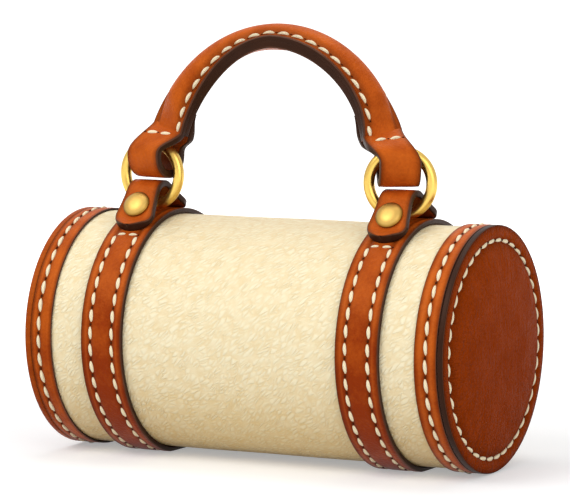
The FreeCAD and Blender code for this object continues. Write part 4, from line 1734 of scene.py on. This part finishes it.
@dataclass
class Handle:
    """Padded arch with its ends turned round the rings of the straps."""

    finishes: Finishes
    strap: Strap
    half: float = 10.2
    lining: float = 3.8
    flange: float = 2.9
    margin: float = 2.4
    rounding: float = 1.0
    foot: float = 0.08
    rise: float = 61.8
    span_inset: float = 10.8
    base_drop: float = 13.0
    leg_gap: float = 2.8
    lean: float = radians(6.0)
    twist_onset: float = 1.4
    end_onset: int = 8
    dome: float = 6.4
    dome_power: float = 0.62
    dome_taper: float = 0.1
    flat_start: float = 0.76
    flat_run: float = 0.23
    flat_share: float = 0.98
    cover_depth: float = 0.7
    furrow: float = 0.5
    furrow_width: float = 1.1
    furrow_reach: float = 1.5
    furrow_inside: float = 0.6
    arch_steps: int = 90
    strip_steps: int = 12
    ply: float = 4.2
    hang: float = 0.9
    shoulder: float = 4.5
    shoulder_steps: int = 6
    back_opening: float = 3.0
    lap: float = 0.03
    bend_steps: int = 10
    return_length: float = 14.0
    return_steps: int = 4
    gap: float = 0.35
    skived: float = 0.4
    pared_steps: int = 16
    pared_sink: float = 0.3
    loop_steps: int = 16
    ease_parts: int = 4
    ease_rounds: int = 10
    row_place: float = 7.3
    row_steps: int = 120
    row_lift: float = 0.1
    rear_share: float = 0.8
    cross_inset: float = 1.0
    cross_border: float = 2.0
    cross_gap: float = 0.9

    @property
    def edge(self) -> float:
        """Height of the sewn border over the inner face."""
        return self.lining + self.flange

    @property
    def half_span(self) -> float:
        """Half of the arch's inner width."""
        return self.strap.ring_place - self.span_inset

    @property
    def end_angle(self) -> float:
        """Angle from the arch's top to its sewn ends."""
        return acos((self.base_drop + self.strap.ring_wire + self.leg_gap) / self.rise)

    def frame(self, side: Side, angle: float) -> tuple[Vector, Vector, Vector]:
        """Find the place and the turn of a section of the arch.

        Args:
            side: of the arch.
            angle: from the arch's top.

        Returns:
            The inner face's middle, and the outward and sideways directions.
        """
        end = TURNED_ENDS[side]
        share = angle / self.end_angle
        leg_turn = end.leg_twist * sin(share * pi / 2) ** self.twist_onset
        twist = radians(leg_turn + (end.end_twist - end.leg_twist) * share ** self.end_onset)
        across, up = side.value * sin(angle), cos(angle)
        inner = Vector((self.half_span * across, 0, self.rise * up - self.base_drop))
        away = Vector((self.rise * across, 0, self.half_span * up)).normalized()
        lean = Matrix.Rotation(-self.lean, 3, "X")
        outward = lean @ (away * cos(twist) + FRONT * sin(twist))
        sideways = lean @ (FRONT * cos(twist) - away * sin(twist))
        hung = Vector((0, self.strap.ring_centre.y, self.strap.ring_top))
        middle = hung + lean @ (inner + away * (self.edge / 2))
        return middle - outward * (self.edge / 2), outward, sideways

    def stations(self, count: int) -> list[tuple[Side, float]]:
        """Sides and angles along the arch, from the left end to the right end."""
        step = self.end_angle / count
        return [(Side.RIGHT if k >= 0 else Side.LEFT, abs(k) * step) for k in range(-count, count + 1)]

    def cover_height(self, across: float, angle: float) -> float:
        """Work out the height of the cover over the inner face.

        Args:
            across: place across the arch.
            angle: from the arch's top.

        Returns:
            The height, with the padding's dome and the furrows under the stitches.
        """
        share = angle / self.end_angle
        flat = self.flat_share * smooth((share - self.flat_start) / self.flat_run)
        lift = self.dome * (1 - flat) * (1 - self.dome_taper * share)
        crown = lift * max(0.0, 1 - (across / (self.half - self.margin)) ** 2) ** self.dome_power
        out = abs(across) - self.row_place
        furrow = self.furrow * bell(out, self.furrow_width)
        return self.edge + crown - furrow * (1 if out > -self.furrow_reach else self.furrow_inside)

    def arch(self, name: str, knots: Sequence[Knot], padded: bool) -> Object:
        """Sweep a section along the arch.

        Args:
            name: of the piece.
            knots: its section.
            padded: whether the section's upper face takes the padding's height.

        Returns:
            The object.
        """
        rows = []
        for side, angle in self.stations(self.arch_steps):
            middle, outward, sideways = self.frame(side, angle)
            row = []
            for knot in knots:
                height = knot.height
                upper = padded and height > self.edge - self.cover_depth
                if upper and abs(knot.across) <= self.half - self.rounding:
                    height = self.cover_height(knot.across, angle)
                row.append(middle + sideways * knot.across + outward * height)
            rows.append(row)
        return swept(name, rows, knots, self.finishes.cut_tan, closed=False, cap=Zone.FACE)

    def build_arch(self) -> None:
        """Make the padded cover and the strip sewn under it."""
        section = slab(self.half, self.lining, self.edge, self.rounding,
                       furrows=(-self.row_place, self.row_place), foot=self.foot)
        cover = self.arch("handle_padded_cover", section, True)
        dress(cover, "handle", ["handle_cover", "handle_core"])
        under = slab(self.half, 0.0, self.lining, self.rounding, steps=self.strip_steps, foot=self.foot)
        section = [Knot(knot.across, self.lining - knot.height, knot.zone, knot.rim) for knot in under]
        strip = self.arch("handle_under_strip", section, False)
        dress(strip, "handle", ["handle_lining"])

    def shoulder_line(self, start: Vector, end: Vector, outward: Vector, first: Vector, last: Vector,
                      power: float) -> Line:
        """Draw the ply where the sewn arch opens out into the loop.

        Args:
            start: its middle at the arch.
            end: its middle at the loop.
            outward: direction in which the loop opens.
            first: sideways direction at the arch.
            last: sideways direction at the loop.
            power: how soon the ply opens.

        Returns:
            Middles and sideways directions.
        """
        step = end - start
        opening, drop = outward * step.dot(outward), UP * step.dot(UP)
        made = []
        for k in range(self.shoulder_steps):
            share = k / self.shoulder_steps
            sway = (step - opening - drop) * smooth(share)
            middle = start + opening * (1 - (1 - share) ** power) + sway + drop * share
            made.append((middle, first.lerp(last, smooth(share)).normalized()))
        return made

    def loop_line(self, side: Side) -> Line:
        """Draw the middle line of a turned end, from the arch round the ring and back.

        Args:
            side: of the arch.

        Returns:
            Middles and sideways directions.
        """
        end, strap = TURNED_ENDS[side], self.strap
        turn = radians(end.turn)
        outward = Vector((side.value * sin(turn), -cos(turn), 0))
        sideways = Vector((-side.value * cos(turn), -sin(turn), 0))
        bend = Vector((side.value * (strap.ring_place - end.inset), strap.ring_centre.y,
                       strap.fold_top + self.hang + self.ply + end.cavity))
        reach = end.cavity + self.ply / 2
        straight = UP * (strap.ring_top - self.shoulder - bend.z)
        front_top, back_top = bend + straight + outward * reach, bend + straight - outward * reach
        over, below = self.edge - self.ply / 2, self.gap + self.ply / 2
        before, before_out, before_side = self.frame(side, self.end_angle - self.lap)
        middle, leg_out, leg_side = self.frame(side, self.end_angle)
        line = [(before + before_out * (over - 2 * self.lap), before_side)]
        line += self.shoulder_line(middle + leg_out * (over - self.lap), front_top, outward, leg_side,
                                   sideways, end.opening)
        line.append((front_top, sideways))
        for k in range(self.bend_steps + 1):
            angle = pi * k / self.bend_steps
            hung = outward * (reach * cos(angle)) - UP * (reach * sin(angle))
            line.append((bend + hung, sideways))
        line.append((back_top, sideways))
        line += reversed(self.shoulder_line(middle - leg_out * below, back_top, outward, leg_side, sideways,
                                            self.back_opening))
        for k in range(1, self.return_steps + 1):
            run = k * self.return_length / self.return_steps
            middle, leg_out, leg_side = self.frame(side, self.end_angle - run / self.rise)
            line.append((middle - leg_out * below, leg_side))
        return self.eased(line)

    def eased(self, line: Sequence[tuple[Vector, Vector]]) -> Line:
        """Make a finer, rounder copy of a line.

        Args:
            line: middles and sideways directions.

        Returns:
            The copy, with the same two ends.
        """
        made = []
        for k in range(len(line) - 1):
            p0, p1 = line[max(k - 1, 0)][0], line[k][0]
            p2, p3 = line[k + 1][0], line[min(k + 2, len(line) - 1)][0]
            for n in range(self.ease_parts):
                t = n / self.ease_parts
                point = 0.5 * (2 * p1 + (p2 - p0) * t + (2 * p0 - 5 * p1 + 4 * p2 - p3) * t * t
                               + (3 * p1 - p0 - 3 * p2 + p3) * t ** 3)
                made.append((point, line[k][1].lerp(line[k + 1][1], t).normalized()))
        made.append(line[-1])
        for _ in range(self.ease_rounds):
            inner = [(here[0] * 0.5 + (before[0] + after[0]) * 0.25,
                      (here[1] * 2 + before[1] + after[1]).normalized())
                     for before, here, after in zip(made, made[1:], made[2:])]
            made = [made[0]] + inner + [made[-1]]
        return made

    def build_loop(self, side: Side) -> None:
        """Make one turned end, with its last stretch pared thin.

        Args:
            side: of the arch.
        """
        line = self.loop_line(side)
        thick = self.ply / 2
        # the loop's under face takes painted shade
        knots = slab(self.half, -thick, thick, self.rounding, steps=self.loop_steps, under_shade=UNDERSIDE_SHADE)
        rows = []
        for k, (point, across) in enumerate(line):
            ahead = line[min(k + 1, len(line) - 1)][0] - line[max(k - 1, 0)][0]
            outward = across.cross(ahead).normalized() * side.value
            pared = smooth((k + 1 - len(line)) / self.pared_steps + 1)
            thin = pared * (self.ply - self.skived)
            sunk = thin / 2 + pared * (self.gap + self.pared_sink)
            rows.append([point + across * knot.across + outward * (knot.height * (1 - thin / self.ply) - sunk)
                         for knot in knots])
        loop = swept(side.word + "_turned_end", rows, knots, self.finishes.cut_tan, closed=False)
        dress(loop, "handle", ["handle_" + side.word + "_loop"])

    def build(self) -> None:
        """Make the arch and both turned ends."""
        self.build_arch()
        for side in Side:
            self.build_loop(side)

    def stitches(self, rows: StitchRows) -> None:
        """Lay the rows along both borders of the cover, and across its ends.

        Args:
            rows: that take the stitches.
        """
        for across, last in ((self.row_place, 1.0), (-self.row_place, self.rear_share)):
            path, ups = [], []
            for side, angle in self.stations(self.row_steps):
                angle *= last
                middle, outward, sideways = self.frame(side, angle)
                height = self.cover_height(across, angle) + self.row_lift
                path.append(middle + sideways * across + outward * height)
                ups.append(outward)
            rows.row(path, ups)
        places = (self.row_place - self.cross_inset, self.cross_border - self.half)
        for side in Side:
            path, ups = [], []
            line = self.loop_line(side)
            for across, k in zip(places, TURNED_ENDS[side].cross):
                point, sideways = line[k]
                outward = sideways.cross(line[k + 1][0] - line[k - 1][0]).normalized() * side.value
                path.append(point + sideways * across + outward * (self.ply / 2))
                ups.append(outward)
            rows.row(path, ups, count=2, gap=self.cross_gap)


@dataclass
class Zip:
    """Zip behind the barrel's top."""

    finishes: Finishes
    radius: float = BARREL_RADIUS - SHELL_THICKNESS - GLUE_GAP
    tape_half: float = ZIP_SLOT_HALF + TAPE_MARGIN
    tape_width: float = 11.0
    tape_thickness: float = 0.8
    tape_steps: int = 12
    tape_rows: int = 60
    chain_half: float = ZIP_SLOT_HALF - 4.0
    pitch: float = 2.6
    tip: float = 0.7
    tooth_length: float = 2.2
    tooth_width: float = 1.4
    tooth_height: float = 2.2
    tooth_level: int = 2
    tooth_crease: float = 0.55
    bead: float = 0.9
    stop_ease: float = 0.25
    slider_ease: float = 0.2
    ease_steps: int = 2
    flat_turn: float = radians(2)
    corner_turn: float = radians(30)
    sharp_turn: float = radians(35)

    def build_tape(self, tape: Tape) -> None:
        """Make one woven tape.

        Args:
            tape: the half of the zip.
        """
        start = self.tip + self.tooth_length + self.bead + GLUE_GAP
        upper = [Knot(start + self.tape_width * k / self.tape_steps, 0) for k in range(self.tape_steps + 1)]
        knots = upper + [Knot(knot.across, -self.tape_thickness) for knot in reversed(upper)]
        turns = [ZIP_ANGLE + tape.value * knot.across / self.radius for knot in knots]
        rows = []
        for k in range(self.tape_rows + 1):
            x = -self.tape_half + 2 * self.tape_half * k / self.tape_rows
            rows.append([around(self.radius + knot.height, turn, x) for knot, turn in zip(knots, turns)])
        cloth = swept("zip_%s_cloth" % tape.word, rows, knots, (self.finishes.tape, self.finishes.tape),
                      closed=False)
        dress(cloth, "bag", ["zip_%s_tape" % tape.word])

    def tooth_tree(self) -> NodeTree:
        """Build the node tree that sets a tooth at each point of a line.

        Returns:
            The tree, with named inputs for the tooth's sizes and its material.
        """
        t, given = open_tree("zip_teeth", ("Width", "Reach", "Height", "Turn"), ("Metal",))
        size = t.vector(given["Width"], given["Reach"], given["Height"])
        block = t.add("GeometryNodeMeshCube", {"Size": size})
        finer = t.add("GeometryNodeSubdivisionSurface", {
            "Mesh": block.outputs[0], "Level": self.tooth_level, "Edge Crease": self.tooth_crease})
        points = t.add("GeometryNodeMeshToPoints", {"Mesh": given["Geometry"]})
        spread = t.add("GeometryNodeInstanceOnPoints", {
            "Points": points.outputs[0], "Instance": finer.outputs[0], "Rotation": t.vector(given["Turn"])})
        plain = t.add("GeometryNodeRealizeInstances", {"Geometry": spread.outputs[0]})
        eased = t.add("GeometryNodeSetShadeSmooth", {"Geometry": plain.outputs[0], "Shade Smooth": True})
        done = t.add("GeometryNodeSetMaterial", {"Geometry": eased.outputs[0], "Material": given["Metal"]})
        t.add("NodeGroupOutput", {0: done.outputs[0]})
        return t.tree

    def build_teeth(self, tape: Tape) -> None:
        """Make one row of teeth on its bead.

        Args:
            tape: the half of the zip.
        """
        count = int(2 * self.chain_half / self.pitch)
        middle = self.radius - self.tape_thickness / 2
        offset = tape.value * (self.tip + (self.tooth_length + self.bead) / 2)
        turn = Matrix.Rotation(-ZIP_ANGLE, 3, "X")
        spots = [turn @ Vector((-self.chain_half + (k + 0.5) * self.pitch, offset, middle))
                 for k in range(count)]
        mesh = bpy.data.meshes.new("tooth_spots")
        mesh.from_pydata([lifted(spot) for spot in spots], [], [])
        teeth = grown("zip_%s_chain" % tape.word, mesh, self.tooth_tree(), {
            "Width": self.tooth_width * MM, "Reach": (self.tooth_length + self.bead) * MM,
            "Height": self.tooth_height * MM, "Turn": -ZIP_ANGLE, "Metal": self.finishes.brass})
        dress(teeth, "bag", ["zip_%s_teeth" % tape.word])

    def build_metal(self, node: Object, name: str, body: str, ease: float) -> None:
        """Make an eased copy of a small metal solid.

        Args:
            node: the solid.
            name: of the new piece.
            body: that it moves with.
            ease: width of its rounded corners.
        """
        work = bmesh.new()
        work.from_mesh(node.data)
        bmesh.ops.remove_doubles(work, verts=work.verts, dist=1e-6)
        bmesh.ops.dissolve_limit(work, angle_limit=self.flat_turn, verts=work.verts, edges=work.edges)
        corners = [edge for edge in work.edges
                   if len(edge.link_faces) == 2 and edge.calc_face_angle(0.0) > self.corner_turn]
        bmesh.ops.bevel(work, geom=corners, offset=ease * MM, segments=self.ease_steps, profile=0.5,
                        affect="EDGES", clamp_overlap=True)
        mesh = bpy.data.meshes.new(name)
        work.to_mesh(mesh)
        work.free()
        mesh.materials.append(self.finishes.brass)
        mesh.shade_smooth()
        mesh.set_sharp_from_angle(angle=self.sharp_turn)
        dress(placed(name, mesh), body, [node.name])

    def build(self, nodes: dict[str, Object]) -> None:
        """Make the tapes, teeth, stops, slider and pull.

        Args:
            nodes: the solids by name.
        """
        for tape in Tape:
            self.build_tape(tape)
            self.build_teeth(tape)
        self.build_metal(nodes["zip_stops"], "zip_end_stops", "bag", self.stop_ease)
        self.build_metal(nodes["zip_slider"], "zip_runner", "zip_slider_body", self.slider_ease)
        self.build_metal(nodes["zip_pull"], "zip_tag", "zip_pull_body", self.slider_ease)


@dataclass(frozen=True)
class SoftLamp:
    """Square lamp that looks at the bag: its name, place and size in metres, and power in watts."""

    name: str
    place: Triple
    size: float
    power: float


@dataclass
class Studio:
    """Camera, lamps and floor. Sizes are in metres, the sensor and the lens in millimetres."""

    azimuth: float = radians(27.488)
    elevation: float = radians(5.518)
    distance: float = 1.700571
    target: Triple = (0.000263, 0.0, 0.10562)
    sensor: float = 36.0
    lens: float = 212.4
    clip: Pair = (0.05, 60.0)
    floor_half: float = 30.0
    floor_grey: float = 0.76
    floor_glow: float = 0.35
    shadow_reach: Pair = (0.2, 0.55)
    sky_level: float = 0.45
    sky_glossy: float = 0.9
    lamps: tuple[SoftLamp, ...] = (SoftLamp("key", (-0.8, -1.4, 1.6), 1.2, 19.0),
                                   SoftLamp("fill", (1.4, -1.0, 0.8), 1.4, 10.8),
                                   SoftLamp("top", (-0.1, 0.3, 1.7), 1.0, 7.4))

    def aim(self, seen_from: Object, place: Vector) -> None:
        """Set a camera or lamp at a place and turn it to the bag.

        Args:
            seen_from: the camera or lamp.
            place: where it stands.
        """
        seen_from.location = place
        seen_from.rotation_mode = "QUATERNION"
        seen_from.rotation_quaternion = (Vector(self.target) - place).to_track_quat("-Z", "Y")

    def camera(self) -> None:
        """Set up the camera."""
        back = Vector((sin(self.azimuth) * cos(self.elevation),
                       -cos(self.azimuth) * cos(self.elevation), sin(self.elevation)))
        data = bpy.data.cameras.new("camera")
        data.sensor_width = self.sensor
        data.lens = self.lens
        data.clip_start, data.clip_end = self.clip
        camera = placed("camera", data)
        self.aim(camera, Vector(self.target) + back * self.distance)
        bpy.context.scene.camera = camera

    def light(self, lamp: SoftLamp) -> None:
        """Add a soft lamp.

        Args:
            lamp: what it is like.
        """
        data = bpy.data.lights.new(lamp.name, "AREA")
        data.shape = "SQUARE"
        data.size = lamp.size
        data.energy = lamp.power
        self.aim(placed(lamp.name, data), Vector(lamp.place))

    def floor(self) -> None:
        """Add the pale floor, which turns white away from the bag and keeps its shadow."""
        half = self.floor_half
        mesh = bpy.data.meshes.new("floor")
        mesh.from_pydata([(-half, -half, 0), (half, -half, 0), (half, half, 0), (-half, half, 0)], [],
                         [(0, 1, 2, 3)])
        made = bpy.data.materials.new("pale_floor")
        made.use_nodes = True
        made.node_tree.nodes.remove(made.node_tree.nodes["Principled BSDF"])
        tree = Tree(made.node_tree)
        path = tree.add("ShaderNodeLightPath").outputs
        mirrored = tree.math("MAXIMUM", path["Is Glossy Ray"], path["Is Transmission Ray"])
        seen = tree.math("MAXIMUM", path["Is Camera Ray"], mirrored)
        far = tree.ramp(tree.length(tree.place()), *self.shadow_reach)
        level = tree.plus(self.floor_glow, tree.times(far, 1 - self.floor_glow))
        glow = tree.add("ShaderNodeEmission", {"Color": (1, 1, 1, 1), "Strength": tree.times(seen, level)})
        matte = tree.add("ShaderNodeBsdfDiffuse", {"Color": (self.floor_grey,) * 3 + (1,)})
        both = tree.add("ShaderNodeAddShader", {0: glow.outputs[0], 1: matte.outputs[0]})
        tree.link(both.outputs[0], made.node_tree.nodes["Material Output"].inputs["Surface"])
        mesh.materials.append(made)
        placed("floor", mesh)

    def world(self) -> None:
        """Light the bag evenly and palely from all round."""
        world = bpy.data.worlds.new("studio")
        world.use_nodes = True
        bpy.context.scene.world = world
        tree = Tree(world.node_tree)
        path = tree.add("ShaderNodeLightPath").outputs
        clear = tree.math("MAXIMUM", path["Is Camera Ray"], path["Is Transmission Ray"])
        seen = tree.math("MAXIMUM", clear, tree.times(path["Is Glossy Ray"], self.sky_glossy))
        sky = world.node_tree.nodes["Background"]
        sky.inputs["Color"].default_value = (1, 1, 1, 1)
        tree.link(tree.plus(self.sky_level, tree.times(seen, 1 - self.sky_level)), sky.inputs["Strength"])

    def build(self) -> None:
        """Set up the whole studio."""
        self.camera()
        self.floor()
        self.world()
        for lamp in self.lamps:
            self.light(lamp)
        bpy.context.scene.view_settings.view_transform = "Standard"


def main() -> None:
    """Build the bag's pieces in order."""
    logging.basicConfig(level=logging.INFO)
    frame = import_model()
    finishes = Finishes()
    Studio().build()
    sewn = StitchRows("bag_stitches")
    barrel = Barrel(finishes)
    barrel.build()
    ends = (BarrelEnd(finishes, Side.LEFT, row_shift=1.5, painted=False), BarrelEnd(finishes, Side.RIGHT))
    straps = (Strap(finishes, Side.LEFT, ring_splay=3.0), Strap(finishes, Side.RIGHT, ring_splay=12.0))
    for piece in ends + straps:
        piece.build()
        piece.stitches(sewn)
    sewn.build("bag", finishes)
    handle = Handle(finishes, straps[0])
    handle.build()
    hand_sewn = StitchRows("handle_stitches", pitch=8.2, gap=1.4)
    handle.stitches(hand_sewn)
    hand_sewn.build("handle", finishes)
    small = StitchRows("zip_stitches", pitch=3.4, length=2.7, width=0.8, rise=0.3, slant=4.0, gap=0.7)
    barrel.slot_stitches(small)
    small.build("bag", finishes)
    Zip(finishes).build(frame["nodes"])
    for name, node in frame["nodes"].items():
        if not node.hide_render:
            node.data.materials.clear()
            node.data.materials.append(finishes.brass if "rivet" in name else finishes.board)


if __name__ == "__main__":
    main()
